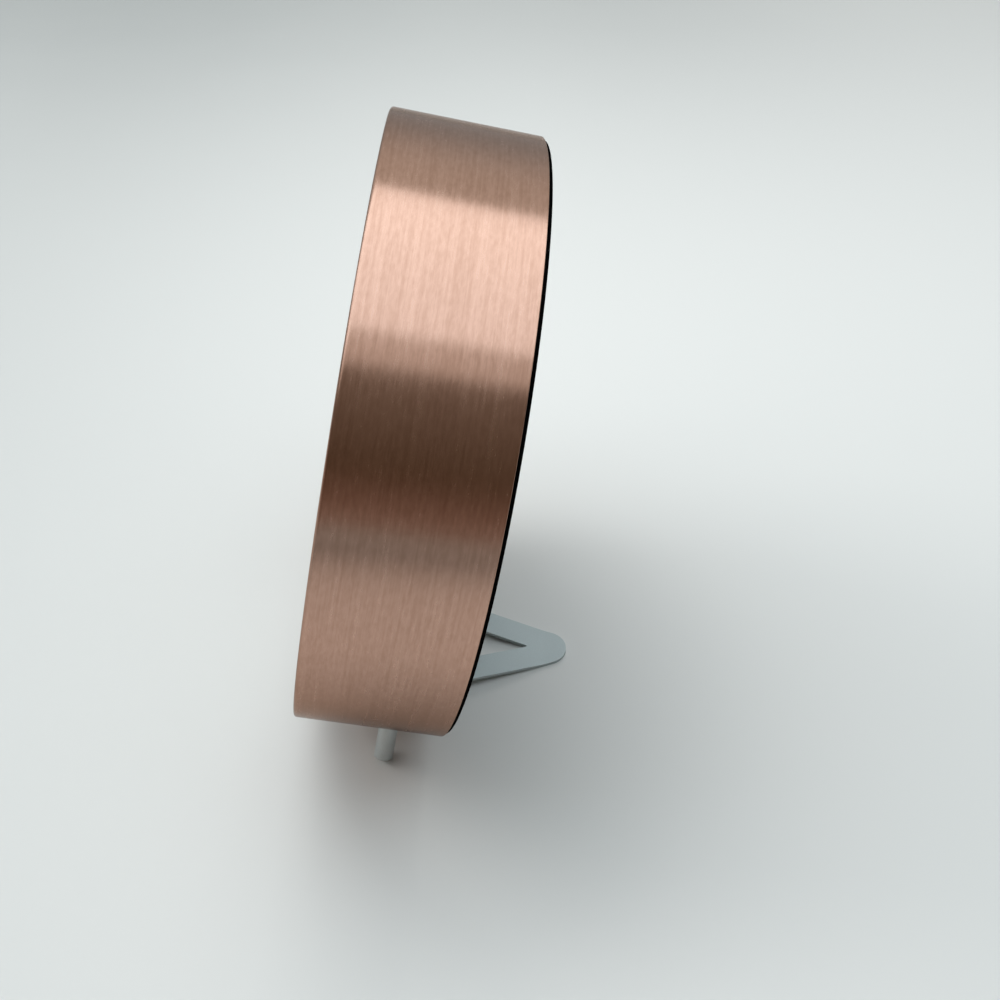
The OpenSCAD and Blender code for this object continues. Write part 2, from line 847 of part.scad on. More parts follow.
// moulded front half of the movement, with the threaded bush, the bay wall and the fixing posts
module movement_case() {
    color([0.13, 0.13, 0.14])
        standing()
            difference() {
                union() {
                    difference() {
                        movement_plate(0, inner_back_z, movement_front_z);
                        movement_plate(-movement_wall, inner_back_z - 1, inner_front_z);
                    }
                    rod(bush_d / 2, movement_front_z - lap, bush_top_z);
                    box([-inner_w / 2 - lap, bay_top_y, inner_back_z],
                        [inner_w / 2 + lap, bay_top_y + bay_wall, inner_front_z + lap]);
                    for (p = bridge_posts)
                        translate(p) {
                            rod(bridge_post_r, arbor_front_z, inner_front_z + lap);
                            rod(bridge_pin_r, bridge_level - end_play, arbor_front_z + lap);
                        }
                    for (p = stator_posts)
                        translate(p) {
                            rod(stator_post_r, stator_z + strip_t, inner_front_z + lap);
                            rod(stator_pin_r, core_z - end_play, stator_z + strip_t + lap);
                        }
                    for (x = [board_post_in, board_l - board_post_in])
                        translate([board_at[0] + x, board_at[1] + board_h - board_post_in])
                            rod(board_post_r, board_z + board_t, inner_front_z + lap);
                    translate(motion_at)
                        rod(stud_r, bridge_level + lap, inner_front_z + lap);
                }
                rod(hour_tube_r + running_gap, inner_front_z - 1, bush_top_z + 1);
            }
}

// rear plate of the movement, open over the battery, with the rear bearings
module movement_cover() {
    color([0.12, 0.12, 0.13])
        standing()
            difference() {
                movement_plate(0, movement_back_z, inner_back_z);
                box([-bay_l / 2 + end_gap, bay_bottom_y + end_gap, movement_back_z - 1],
                    [bay_l / 2 - end_gap, bay_top_y - end_gap, inner_back_z + 1]);
                for (p = [[0, 0], third_at, intermediate_at, rotor_at])
                    translate(p)
                        rod(bore_r, bearing_back_z, inner_back_z + 1);
                translate(setting_at)
                    rod(setting_arbor_r + running_gap, movement_back_z - 1, inner_back_z + 1);
            }
}

// plate inside the movement that carries the front bearings
module train_bridge() {
    color([0.84, 0.83, 0.78])
        standing()
            difference() {
                box([bridge_left_x, bridge_low_y, bridge_level],
                    [bridge_right_x, bridge_high_y, arbor_front_z]);
                for (p = [third_at, intermediate_at, rotor_at])
                    translate(p)
                        rod(bore_r, bridge_level - 1, arbor_front_z + 1);
                rod(minute_arbor_r + running_gap, bridge_level - 1, arbor_front_z + 1);
                translate(setting_at)
                    rod(setting_arbor_r + running_gap, bridge_level - 1, arbor_front_z + 1);
                translate(motion_at)
                    rod(stud_r + running_gap, bridge_level - 1, arbor_front_z + 1);
                for (p = bridge_posts)
                    translate(p)
                        rod(bridge_pin_r + pin_gap, bridge_level - 1, arbor_front_z + 1);
            }
}

// iron plate round the rotor, with an arm to each end of the coil
module stator() {
    rx = rotor_at[0];
    top_z = stator_z + strip_t;
    color([0.50, 0.51, 0.53])
        standing()
            difference() {
                union() {
                    translate(rotor_at)
                        rod(ring_r, stator_z, top_z);
                    box([rx - strip_w, strip_low_y, stator_z], [rx + strip_w, strip_high_y, top_z]);
                    for (y = [strip_low_y, strip_high_y - strip_w])
                        box([rx - strip_w, y, stator_z], [coil_x + strip_w, y + strip_w, top_z]);
                }
                translate(rotor_at)
                    rod(magnet_r + air_gap, stator_z - 1, top_z + 1);
                for (p = stator_posts)
                    translate(p)
                        rod(stator_pin_r + pin_gap, stator_z - 1, top_z + 1);
            }
}

// iron strip through the coil, wider at both ends
module coil_core() {
    color([0.46, 0.47, 0.49])
        standing()
            difference() {
                union() {
                    box([coil_x - strip_w / 2, strip_low_y, core_z],
                        [coil_x + strip_w / 2, strip_high_y, stator_z]);
                    for (y = [strip_low_y, strip_high_y - strip_w])
                        box([coil_x - strip_w, y, core_z], [coil_x + strip_w, y + strip_w, stator_z]);
                }
                for (p = stator_posts)
                    translate(p)
                        rod(stator_pin_r + pin_gap, core_z - 1, stator_z + 1);
            }
}

// puts its children on the axis of the coil, +z along the coil
module at_coil() {
    translate([coil_x, coil_low_y, core_z + strip_t / 2])
        rotate([-90, 0, 0])
            children();
}

// moulded bobbin of the coil
module coil_bobbin() {
    coil_l = coil_high_y - coil_low_y;
    color([0.90, 0.90, 0.86])
        standing()
            at_coil()
                difference() {
                    union() {
                        rod(bobbin_core_r, 0, coil_l);
                        rod(bobbin_r, 0, flange_t);
                        rod(bobbin_r, coil_l - flange_t, coil_l);
                    }
                    box([-strip_w / 2 - pin_gap, -strip_t / 2 - pin_gap, -1],
                        [strip_w / 2 + pin_gap, strip_t / 2 + pin_gap, coil_l + 1]);
                }
}

// copper winding on the bobbin
module coil_winding() {
    coil_l = coil_high_y - coil_low_y;
    color([0.72, 0.38, 0.20])
        standing()
            at_coil()
                tube(coil_r, bobbin_core_r + press_gap, flange_t + press_gap,
                    coil_l - flange_t - press_gap);
}

// circuit board with its chip under a blob of resin
module circuit_board() {
    color([0.14, 0.36, 0.20])
        standing()
            translate([board_at[0], board_at[1], 0])
                union() {
                    box([0, 0, board_z], [board_l, board_h, board_z + board_t]);
                    translate([board_l - 2.5 * chip_r, board_h / 2])
                        rod(chip_r, board_z - chip_h, board_z + lap);
                }
}

// can of the quartz crystal, lying on the board
module quartz_crystal() {
    color([0.76, 0.77, 0.78])
        standing()
            translate([board_at[0] + board_post_in, board_at[1] + board_h / 2,
                board_z - crystal_r - press_gap])
                rotate([0, 90, 0])
                    cylinder(r = crystal_r, h = crystal_l);
}

// round dry cell, positive end on the right as the face is read
module battery() {
    color([0.20, 0.24, 0.30])
        standing()
            translate([-cell_l / 2, battery_y, battery_z])
                rotate([0, 90, 0])
                    union() {
                        cylinder(d = battery_d, h = battery_l);
                        rod(battery_stud_d / 2, battery_l - lap, cell_l);
                    }
}

// sheet contacts at both ends of the battery, each with a pressed dimple
module battery_contacts() {
    color([0.74, 0.74, 0.72])
        standing()
            for (side = [-1, 1])
                translate([0, battery_y, battery_z])
                    rotate([0, side * 90, 0])
                        union() {
                            box([-contact_w / 2, -contact_w / 2, bay_l / 2 - contact_t],
                                [contact_w / 2, contact_w / 2, bay_l / 2]);
                            rod(dimple_r, cell_l / 2 + press_gap, bay_l / 2 - contact_t + lap);
                        }
}

// stepping rotor: magnet, pinion and arbor
module rotor() {
    turn = mesh_turn(rotor_dir, rotor_dir, intermediate_teeth, rotor_pinion);
    color([0.28, 0.28, 0.30])
        standing()
            translate(rotor_at)
                union() {
                    rod(arbor_r, arbor_back_z, arbor_front_z);
                    rod(magnet_r, stator_z - magnet_over, stator_z + strip_t + magnet_over);
                    gear(rotor_pinion, rotor_m, pinion_tooth, turn, rotor_level);
                }
}

// wheel and pinion between rotor and second wheel
module intermediate_wheel() {
    pinion_turn = mesh_turn(intermediate_dir, intermediate_dir, second_teeth, intermediate_pinion);
    color([0.90, 0.89, 0.84])
        standing()
            translate(intermediate_at)
                union() {
                    rod(arbor_r, arbor_back_z, arbor_front_z);
                    gear(intermediate_teeth, rotor_m, wheel_tooth, rotor_dir, rotor_level);
                    gear(intermediate_pinion, second_m, pinion_tooth, pinion_turn, second_level);
                    rod(hub_r, rotor_level + wheel_t - lap, second_level + lap);
                }
}

// second wheel and pinion on the long thin arbor of the second hand
module second_wheel() {
    pinion_turn = third_dir + 180 / second_pinion;
    color([0.90, 0.89, 0.84])
        standing()
            union() {
                rod(arbor_r, arbor_back_z, second_cap_z - cap_t);
                gear(second_teeth, second_m, wheel_tooth, intermediate_dir, second_level);
                gear(second_pinion, third_m, pinion_tooth, pinion_turn, third_level);
                rod(slim_hub_r, second_level + wheel_t - lap, third_level + lap);
            }
}

// third wheel and pinion
module third_wheel() {
    pinion_turn = third_dir + 180 + 180 / third_pinion;
    color([0.90, 0.89, 0.84])
        standing()
            translate(third_at)
                union() {
                    rod(arbor_r, arbor_back_z, arbor_front_z);
                    gear(third_teeth, third_m, wheel_tooth, third_dir + 180, third_level);
                    gear(third_pinion, centre_m, pinion_tooth, pinion_turn, centre_level);
                    rod(slim_hub_r, third_level + wheel_t - lap, centre_level + lap);
                }
}

// centre wheel, which slips on the minute arbor when the hands are set
module centre_wheel() {
    color([0.90, 0.89, 0.84])
        standing()
            difference() {
                gear(centre_teeth, centre_m, wheel_tooth, third_dir, centre_level);
                rod(minute_arbor_r + running_gap / 2, centre_level - 1, centre_level + wheel_t + 1);
            }
}

// hollow minute arbor with its flange and pinion
module minute_arbor() {
    pinion_turn = motion_dir + 180 / cannon_pinion;
    clutch_z = centre_level - clutch_t - lap;
    color([0.82, 0.72, 0.44])
        standing()
            difference() {
                union() {
                    rod(minute_arbor_r, clutch_z, minute_boss_z - end_play);
                    rod(clutch_r, clutch_z, clutch_z + clutch_t);
                    gear(cannon_pinion, motion_m, pinion_tooth, pinion_turn, motion_level);
                }
                rod(bore_r, centre_level - 2, minute_boss_z + 1);
            }
}

// motion wheel and pinion, turning on a post of the movement case
module motion_wheel() {
    pinion_turn = mesh_turn(motion_dir, motion_dir, hour_teeth, motion_pinion);
    color([0.90, 0.89, 0.84])
        standing()
            translate(motion_at)
                difference() {
                    union() {
                        gear(motion_teeth, motion_m, wheel_tooth, motion_dir + 180, motion_level);
                        gear(motion_pinion, hour_m, pinion_tooth, pinion_turn, hour_level);
                        rod(hub_r, motion_level + wheel_t - lap, hour_level + lap);
                    }
                    rod(stud_r + running_gap, motion_level - 1, hour_level + wheel_t + 1);
                }
}

// hour wheel with its tube
module hour_wheel() {
    color([0.90, 0.89, 0.84])
        standing()
            difference() {
                union() {
                    rod(hour_tube_r, hour_level, hour_boss_z - end_play);
                    gear(hour_teeth, hour_m, wheel_tooth, motion_dir, hour_level);
                }
                rod(minute_arbor_r + running_gap, hour_level - 1, hour_boss_z + 1);
            }
}

// arbor and pinion that turn the motion wheel by hand
module setting_arbor() {
    wheel_turn = motion_dir + 180;
    pinion_turn = mesh_turn(setting_dir, wheel_turn, motion_teeth, setting_pinion);
    color([0.80, 0.80, 0.78])
        standing()
            translate(setting_at)
                union() {
                    rod(setting_arbor_r, knob_back_z + knob_floor + end_play, motion_level + wheel_t);
                    gear(setting_pinion, setting_m, pinion_tooth, pinion_turn, motion_level);
                    rod(setting_collar_r, inner_back_z + end_play, inner_back_z + end_play + setting_collar_t);
                }
}

// grooved knob on the back, pressed on the setting arbor
module setting_knob() {
    color([0.11, 0.11, 0.12])
        standing()
            translate(setting_at)
                difference() {
                    rod(knob_d / 2, knob_back_z, knob_front_z);
                    for (i = [0:knob_grooves - 1])
                        rotate([0, 0, 360 / knob_grooves * i])
                            translate([knob_d / 2 + groove_r / 2, 0])
                                rod(groove_r, knob_back_z - 1, knob_front_z + 1);
                    rod(knob_d / 2 - knob_rim, knob_back_z - 1, knob_back_z + knob_dish);
                    rod(setting_arbor_r + press_gap, knob_back_z + knob_floor, knob_front_z + 1);
                }
}

// flat hand pointing to twelve, on a round boss with a hole
module hand(l, tail, w, tip_w, t, z0, boss_r, boss_top, hole_r) {
    difference() {
        union() {
            translate([0, 0, z0])
                linear_extrude(t)
                    polygon([[-w / 2, -tail], [w / 2, -tail], [tip_w / 2, l], [-tip_w / 2, l]]);
            rod(boss_r, z0, boss_top);
        }
        rod(hole_r, z0 - 1, boss_top + 1);
    }
}

// hour hand, pressed on the hour tube
module hour_hand() {
    color([0.07, 0.07, 0.075])
        standing()
            rotate([0, 0, hour_turn])
                hand(hour_hand_l, hand_tail, hour_hand_w, hour_hand_w * 0.8, hand_t, hour_hand_z,
                    hour_boss_r, hour_boss_z, hour_tube_r + press_gap);
}

// minute hand, pressed on the minute arbor
module minute_hand() {
    color([0.07, 0.07, 0.075])
        standing()
            rotate([0, 0, minute_turn])
                hand(minute_hand_l, hand_tail, minute_hand_w, minute_hand_w * 0.75, hand_t,
                    minute_hand_z, minute_boss_r, minute_boss_z, minute_arbor_r + press_gap);
}

// second hand, pressed on the tip of the second arbor under a closed cap
module second_hand() {
    color([0.62, 0.40, 0.32])
        standing()
            rotate([0, 0, second_turn])
                union() {
                    hand(second_hand_l, second_tail, second_hand_w, second_hand_w * 0.6,
                        second_hand_t, second_hand_z, second_boss_r, second_cap_z - cap_t + press_gap,
                        arbor_r + press_gap);
                    rod(second_boss_r, second_cap_z - cap_t + press_gap / 2, second_cap_z);
                }
}

case_band();
lens();
spacer_ring();
dial();
dial_carrier();
back_cover();
cover_screws();
front_foot_left();
front_foot_right();
foot_washers();
foot_nuts();
rear_leg();
leg_screws();
movement_washer();
bush_washer();
bush_nut();
movement_case();
movement_cover();
train_bridge();
stator();
coil_core();
coil_bobbin();
coil_winding();
circuit_board();
quartz_crystal();
battery();
battery_contacts();
rotor();
intermediate_wheel();
second_wheel();
third_wheel();
centre_wheel();
minute_arbor();
motion_wheel();
hour_wheel();
setting_arbor();
setting_knob();
hour_hand();
minute_hand();
second_hand();
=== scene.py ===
# %% [markdown]
# # A table clock in brushed copper
# A drum clock stands on two short pegs and a bent sheet leg, and leans back a little. Its solids come
# from the CAD model, in metres and in place. This lesson dresses them: it sets up the view and the
# light, writes the finishes as shader maths, and makes the pieces that need more than the plain solid
# has, such as the brushed band, the printed face and the rounded sheet leg.

# %% Load the solids
import json
import math
import bmesh
import bpy
from mathutils import Matrix, Vector


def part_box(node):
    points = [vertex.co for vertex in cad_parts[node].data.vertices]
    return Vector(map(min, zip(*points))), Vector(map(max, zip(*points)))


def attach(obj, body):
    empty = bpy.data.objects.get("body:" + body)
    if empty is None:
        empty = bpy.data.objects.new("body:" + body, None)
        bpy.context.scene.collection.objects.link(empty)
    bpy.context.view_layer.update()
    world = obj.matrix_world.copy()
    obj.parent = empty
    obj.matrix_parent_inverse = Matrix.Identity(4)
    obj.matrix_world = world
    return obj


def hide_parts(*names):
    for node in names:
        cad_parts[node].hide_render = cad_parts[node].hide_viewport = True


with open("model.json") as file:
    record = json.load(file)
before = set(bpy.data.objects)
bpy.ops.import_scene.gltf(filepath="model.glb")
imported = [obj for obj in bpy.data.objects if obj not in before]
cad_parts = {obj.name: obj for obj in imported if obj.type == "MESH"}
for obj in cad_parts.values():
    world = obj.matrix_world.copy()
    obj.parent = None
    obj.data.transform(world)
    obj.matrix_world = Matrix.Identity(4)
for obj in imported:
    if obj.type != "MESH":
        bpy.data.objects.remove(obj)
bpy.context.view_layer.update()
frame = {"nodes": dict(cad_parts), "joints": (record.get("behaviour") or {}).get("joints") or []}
nodes = frame["nodes"]
MM = 0.001

# %% [markdown]
# ## The dial's own frame
# The whole drum is tipped back, so its sizes are awkward in room coordinates. The axle of the second
# hand gives a better frame: z runs along the axle towards the reader, y points to twelve, and z = 0 is
# the rear edge of the band, a little behind the joint's own point. A piece whose object carries this
# matrix is drawn as if the dial lay flat.

# %% Find the dial frame and measure solids in it
JOINT_UP = 8 * MM
axle = next(j for j in frame["joints"] if j["name"] == "second_spin")
toward = -Vector(axle["axis"])
across = Vector((1, 0, 0))
upward = toward.cross(across)
centre = Vector(axle["pos_m"]) - JOINT_UP * toward
DIAL = Matrix.Translation(centre) @ Matrix((across, upward, toward)).transposed().to_4x4()


def dial_box(node):
    """Lowest and highest corner of a solid, in the dial frame."""
    points = [DIAL.inverted() @ v.co for v in nodes[node].data.vertices]
    return [Vector([f(p[i] for p in points) for i in range(3)]) for f in (min, max)]


band_r = dial_box("case_band")[1].x
band_depth = dial_box("case_band")[1].z
dial_top = dial_box("dial")[1].z
lean = math.asin(toward.z)
print("lean:", round(math.degrees(lean), 2), "band:", round(band_r, 4), round(band_depth, 4))

# %% [markdown]
# ## The view
# The picture is taken from the clock's right side, looking down on the band. A camera is placed most
# surely by its three axes: one that points back from the lens, one to the right and one up, then a
# slight roll of the last two.

# %% Camera
EYE = (0.24475, 0.02303, 0.2638)
FOCAL, SENSOR = 40.07, 36
pitch, yaw, roll = math.radians(39.495), math.radians(0.985), math.radians(-0.776)
back = Vector((math.cos(pitch) * math.cos(yaw), math.cos(pitch) * math.sin(yaw), math.sin(pitch)))
right = Vector((0, 0, 1)).cross(back).normalized()
top = back.cross(right)
right, top = (math.cos(roll) * right + math.sin(roll) * top,
              math.cos(roll) * top - math.sin(roll) * right)

camera = bpy.data.objects.new("camera", bpy.data.cameras.new("camera"))
camera.data.lens, camera.data.sensor_width = FOCAL, SENSOR
camera.data.clip_start = 0.01
camera.matrix_world = Matrix.Translation(EYE) @ Matrix((right, top, back)).transposed().to_4x4()
bpy.context.scene.collection.objects.link(camera)
bpy.context.scene.camera = camera
print("camera at", [round(v, 4) for v in camera.location])

# %% [markdown]
# ## Shader maths as Python
# A finish is a small sum over the surface: a streak here, a cloud of dust there. Wiring each node by
# hand hides that sum. A `Wire` holds one socket and lets Python's operators add the Math nodes, so that
# `0.3 + 0.1 * streaks` reads as it works. Its method `node` makes any other node: the settings go in
# first, then the values or wires of the sockets. `mix` blends two colours by the wire, `step` is a soft
# threshold, `along` reads one coordinate, and `rays` is one for the light that comes in a named way.

# %% The Wire class
class Wire:
    """A socket in a node tree, or only the tree when a finish starts."""

    def __init__(self, tree, socket=None):
        self.tree, self.socket = tree, socket

    def node(self, kind, settings=None, sockets=None, out=0):
        made = self.tree.nodes.new(kind)
        for key, value in (settings or {}).items():
            if key == "stops":
                ramp = made.color_ramp.elements
                while len(ramp) < len(value):
                    ramp.new(0.5)
                for stop, (place, colour) in zip(ramp, value):
                    stop.position, stop.color = place, colour
            else:
                setattr(made, key, value)
        for key, value in (sockets or {}).items():
            if isinstance(value, Wire):
                self.tree.links.new(value.socket, made.inputs[key])
            else:
                made.inputs[key].default_value = value
        return Wire(self.tree, made.outputs[out]) if made.outputs else None

    def maths(self, operation, first, second):
        return self.node("ShaderNodeMath", {"operation": operation}, {0: first, 1: second})

    def mix(self, low, high):
        return self.node("ShaderNodeMix", {"data_type": "RGBA"}, {0: self, 6: low, 7: high}, out=2)

    def stretch(self, by):
        return self.node("ShaderNodeVectorMath", {"operation": "MULTIPLY"}, {0: self, 1: by})

    def along(self, axis):
        return self.node("ShaderNodeSeparateXYZ", {}, {0: self}, out=axis)

    def distance(self, spot):
        return self.node("ShaderNodeVectorMath", {"operation": "DISTANCE"}, {0: self, 1: spot},
                         out="Value")

    def rays(self, way):
        return self.node("ShaderNodeLightPath", out=f"Is {way} Ray")

    def noise(self, scale, detail=2.0, rough=0.5):
        return self.node("ShaderNodeTexNoise", {}, {"Vector": self, "Scale": scale, "Detail": detail,
                                                    "Roughness": rough})

    def step(self, low, high):
        return self.node("ShaderNodeMapRange", {"interpolation_type": "SMOOTHSTEP"},
                         {"Value": self, "From Min": low, "From Max": high})

    def bump(self, strength, depth):
        return self.node("ShaderNodeBump", {}, {"Strength": strength, "Distance": depth,
                                                "Height": self})

    def __add__(self, other):
        return self.maths("ADD", self, other)

    def __sub__(self, other):
        return self.maths("SUBTRACT", self, other)

    def __rsub__(self, other):
        return self.maths("SUBTRACT", other, self)

    def __mul__(self, other):
        return self.maths("MULTIPLY", self, other)

    __radd__, __rmul__ = __add__, __mul__


def finish(name, dress):
    """A material whose principled shader gets the sockets that dress works out from the position."""
    material = bpy.data.materials.new(name)
    material.use_nodes = True
    material.node_tree.nodes.clear()
    start = Wire(material.node_tree)
    place = start.node("ShaderNodeTexCoord", out="Object")
    surface = start.node("ShaderNodeBsdfPrincipled", {}, dress(place))
    start.node("ShaderNodeOutputMaterial", {}, {"Surface": surface})
    return material


print("operators ready:", [n for n in dir(Wire) if n.startswith("__r") and n not in dir(object)])

# %% [markdown]
# ## The floor
# The clock stands on a sheet of white paper that fills the picture. Paper is not one flat white: it
# gets a faint mottle. Painted shade makes it greyer beyond the clock and before its face, where the
# room is dimmer, and for mirrors only, painted shade also darkens it close to the clock, as the clock's
# shadow, and far off on the near side. Where the lamps no longer reach, the paper glows faintly: pale
# for the camera, so that it runs into the room without a dark edge, and dusky for mirrors. The floor is
# stage, not part of the clock.

# %% Floor
PALE_ROOM = (0.72, 0.75, 0.76, 1)
LIT_PAPER, DIM_PAPER = (0.785, 0.768, 0.732, 1), (0.234, 0.252, 0.248, 1)
MOTTLED, DUSKY, UNLIT = (0.70, 0.70, 0.67, 1), (0.27, 0.31, 0.315, 1), (0, 0, 0, 1)
CLOCK_SPOT, PICTURE_MIDDLE = (0, 0, 0), (-0.25, 0, 0)


def white_paper(place):
    x, y = place.along("X"), place.along("Y")
    straight, mirrored = place.rays("Camera"), place.rays("Glossy")
    far, near = x.step(-0.16, -0.8), x.step(0.22, 0.75)
    front, rear = y.step(0.05, -0.30), y.step(0.08, 0.42)
    close = place.distance(CLOCK_SPOT).step(0.17, 0.05)
    away = place.distance(PICTURE_MIDDLE)
    mottle = place.noise(18.0, 3.0)
    # painted shade: beyond and before the clock, and for mirrors near the clock and far on the near side
    shade = (0.37 * front + (0.62 * near + 0.33 * close) * mirrored
             + far * (0.54 - 0.20 * front - 0.26 * rear))
    grey = (0.06 * mottle).mix(shade.mix(LIT_PAPER, DIM_PAPER), MOTTLED)
    # painted glow: out of the lamps' reach the paper emits pale for the camera and dusky for mirrors
    faded = away.step(0.62, 1.2) * straight
    dusky = (away.step(0.9, 1.8) * mirrored).mix(UNLIT, DUSKY)
    return {"Base Color": faded.mix(grey, UNLIT), "Roughness": 0.75 - 0.1 * mottle,
            "Specular IOR Level": 0.0, "Emission Color": faded.mix(dusky, PALE_ROOM),
            "Emission Strength": 1.0}


def mesh_piece(name, mesh, matrix=None):
    """Puts a mesh into the scene as a named object."""
    piece = bpy.data.objects.new(name, mesh)
    bpy.context.scene.collection.objects.link(piece)
    if matrix is not None:
        piece.matrix_world = matrix
    return piece


sheet = bmesh.new()
bmesh.ops.create_grid(sheet, x_segments=8, y_segments=8, size=6.0)
paper = bpy.data.meshes.new("floor")
sheet.to_mesh(paper)
sheet.free()
floor = mesh_piece("floor", paper)
floor.data.materials.append(finish("white_paper", white_paper))
print("floor spans", floor.dimensions.x, "m")

# %% [markdown]
# ## The light
# Polished metal shows its surroundings, so two lamps are shaped by what the band mirrors: a broad soft
# box overhead that reaches far before the face, and a dimmer strip beside it on the camera's side. The
# soft shadow and the face ask for more: four windows, beyond the clock, in front of it, high and low,
# which are screened from mirrors, so that they only light. The room is a world whose tone changes with
# direction; the Light Path node dims it where it only lights, and makes it plain pale where it is
# looked at.

# %% Lamps
def soft_box(name, size, at, glow, aim=(0, 0, -1), tint=(1, 1, 1)):
    """A rectangular lamp that shines along aim, given by the brightness of its surface."""
    lamp = bpy.data.lights.new(name, "AREA")
    lamp.shape, lamp.size, lamp.size_y = "RECTANGLE", size[0], size[1]
    lamp.energy, lamp.color = glow * math.pi * size[0] * size[1], tint
    box = bpy.data.objects.new(name, lamp)
    box.location = at
    box.rotation_euler = Vector(aim).to_track_quat("-Z", "Y").to_euler()
    box.visible_camera = False
    bpy.context.scene.collection.objects.link(box)
    return box


lamps = [soft_box("soft_box", (1.3, 2.9), (-0.08, -0.25, 1.3), 1.48, tint=(0.925, 1.06, 1.15)),
         soft_box("side_strip", (0.335, 2.9), (0.7425, -0.25, 1.3), 0.64, tint=(0.97, 1.04, 1.07))]
WINDOW_SIZE = (0.7, 0.7)
WINDOWS = {"rear_window": ((-1.4, 0.0, 1.0), 4.2), "front_window": ((-0.3, -1.4, 1.0), 3.3),
           "high_window": ((-0.5, -0.4, 1.6), 3.2), "low_window": ((-0.64, -1.5, 0.4), 2.4)}
for name, (at, glow) in WINDOWS.items():
    window = soft_box(name, WINDOW_SIZE, at, glow, -Vector(at))
    window.visible_glossy = False
    lamps.append(window)
print("lamps:", [round(box.data.energy, 1) for box in lamps], "W")

# %% The room
SIDE_GREY = (0.087, 0.087, 0.087, 1)
WALL_LOW, WALL_HIGH = (0.42, 0.52, 0.59, 1), (0.775, 0.81, 0.78, 1)
DUSK_STOPS = [(0.0, (0.33, 0.262, 0.222, 1)), (0.12, (0.231, 0.168, 0.137, 1)),
              (0.32, (0.110, 0.084, 0.054, 1)), (0.8, (0.265, 0.243, 0.21, 1))]
room = bpy.data.worlds.new("room")
room.use_nodes = True
room.node_tree.nodes.clear()
start = Wire(room.node_tree)
aim = start.node("ShaderNodeTexCoord", out="Generated")
height = aim.along("Z")
wall = height.step(0.15, 0.8).mix(WALL_LOW, WALL_HIGH)
dusk = height.node("ShaderNodeValToRGB", {"stops": DUSK_STOPS}, {0: height})
tone = aim.along("X").step(0.5, -0.9).mix(dusk, wall)
tone = aim.along("Y").step(0.35, 0.95).mix(tone, SIDE_GREY)
straight, mirrored, bent = (start.rays(way) for way in ("Camera", "Glossy", "Transmission"))
glow = start.node("ShaderNodeBackground", {}, {"Color": straight.mix(tone, PALE_ROOM),
                                               "Strength": 0.25 + 0.75 * (straight + mirrored + bent)})
start.node("ShaderNodeOutputWorld", {}, {"Surface": glow})
bpy.context.scene.world = room
bpy.context.scene.view_settings.view_transform = "Standard"
print("room made of", len(room.node_tree.nodes), "nodes")

# %% [markdown]
# ## Brushed copper
# The band is copper-coloured sheet, brushed round and round with a fine abrasive belt. The scratches
# run along the circumference, so a lamp is smeared across them, along the axle, and stays crisp round
# the drum. The shader's anisotropy gives that smear: the object's z is the axle, so the default tangent
# runs round the drum, and a quarter turn points the smear along the axle. The scratches themselves are
# three noises packed tightly along z: long strokes round the drum, short ones that glint, and a fine
# haze. The second hand and the winding of the motor are copper too, with a plainer grain.

# %% Copper finishes
def brushed_copper(place):
    long = place.stretch((24, 24, 1150)).noise(1.0, 3.0, 0.6)
    short = place.stretch((420, 420, 1300)).noise(1.0, 2.0, 0.6)
    fine = place.stretch((130, 130, 5000)).noise(1.0, 3.0, 0.65)
    cloud = place.noise(35.0, 3.0)
    streak = 0.46 * long + 0.36 * short + 0.18 * fine
    tint = streak.step(0.32, 0.68).mix((0.43, 0.252, 0.186, 1), (0.57, 0.352, 0.272, 1))
    return {"Base Color": (0.25 * cloud).mix(tint, (0.475, 0.276, 0.202, 1)), "Metallic": 1.0,
            "Roughness": 0.15 + 0.18 * streak + 0.03 * cloud, "Anisotropic": 0.9,
            "Anisotropic Rotation": 0.25, "Normal": streak.bump(0.14, 0.00002),
            "Specular Tint": (0.76, 0.66, 0.6, 1)}


def copper_hand(place):
    grain = place.stretch((900, 900, 900)).noise(1.0, 3.0)
    return {"Base Color": grain.mix((0.42, 0.26, 0.20, 1), (0.52, 0.34, 0.27, 1)), "Metallic": 1.0,
            "Roughness": 0.28 + 0.12 * grain, "Normal": grain.bump(0.1, 0.00002)}


def enamelled_wire(place):
    turns = place.stretch((60, 2200, 2200)).noise(1.0, 2.0)
    return {"Base Color": turns.mix((0.42, 0.13, 0.05, 1), (0.72, 0.32, 0.15, 1)), "Metallic": 0.85,
            "Roughness": 0.3 + 0.15 * turns, "Normal": turns.bump(0.5, 0.0001)}


COPPER = finish("brushed_copper", brushed_copper)
SWEEP = finish("sweep_copper", copper_hand)
WIRE = finish("winding_copper", enamelled_wire)
print("nodes:", {m.name: len(m.node_tree.nodes) for m in (COPPER, SWEEP, WIRE)})

# %% [markdown]
# ## Steel, brass and iron
# The leg is satin grey metal: bead-blasted, so light spreads evenly and a fine pebble shows close up.
# The pegs are turned and a little brighter. Screws are blackened, contacts and nuts are bright, and the
# parts of the motor are soft iron with a drawn grain. One recipe serves them all: two tones, a
# roughness, a grain size and a stretch.

# %% Metal finishes
PEBBLE_DEPTH = 0.01 * MM


def metal(dark, light, rough, grain, stretch=(1, 1, 1), metallic=1.0):
    def dress(place):
        pebble = place.stretch(tuple(grain * s for s in stretch)).noise(1.0, 3.0, 0.6)
        cloud = place.noise(60.0, 2.0)
        tone = 0.7 * pebble + 0.3 * cloud
        return {"Base Color": tone.step(0.25, 0.75).mix((*dark, 1), (*light, 1)), "Metallic": metallic,
                "Roughness": rough + 0.14 * tone, "Normal": pebble.bump(0.25, PEBBLE_DEPTH)}
    return dress


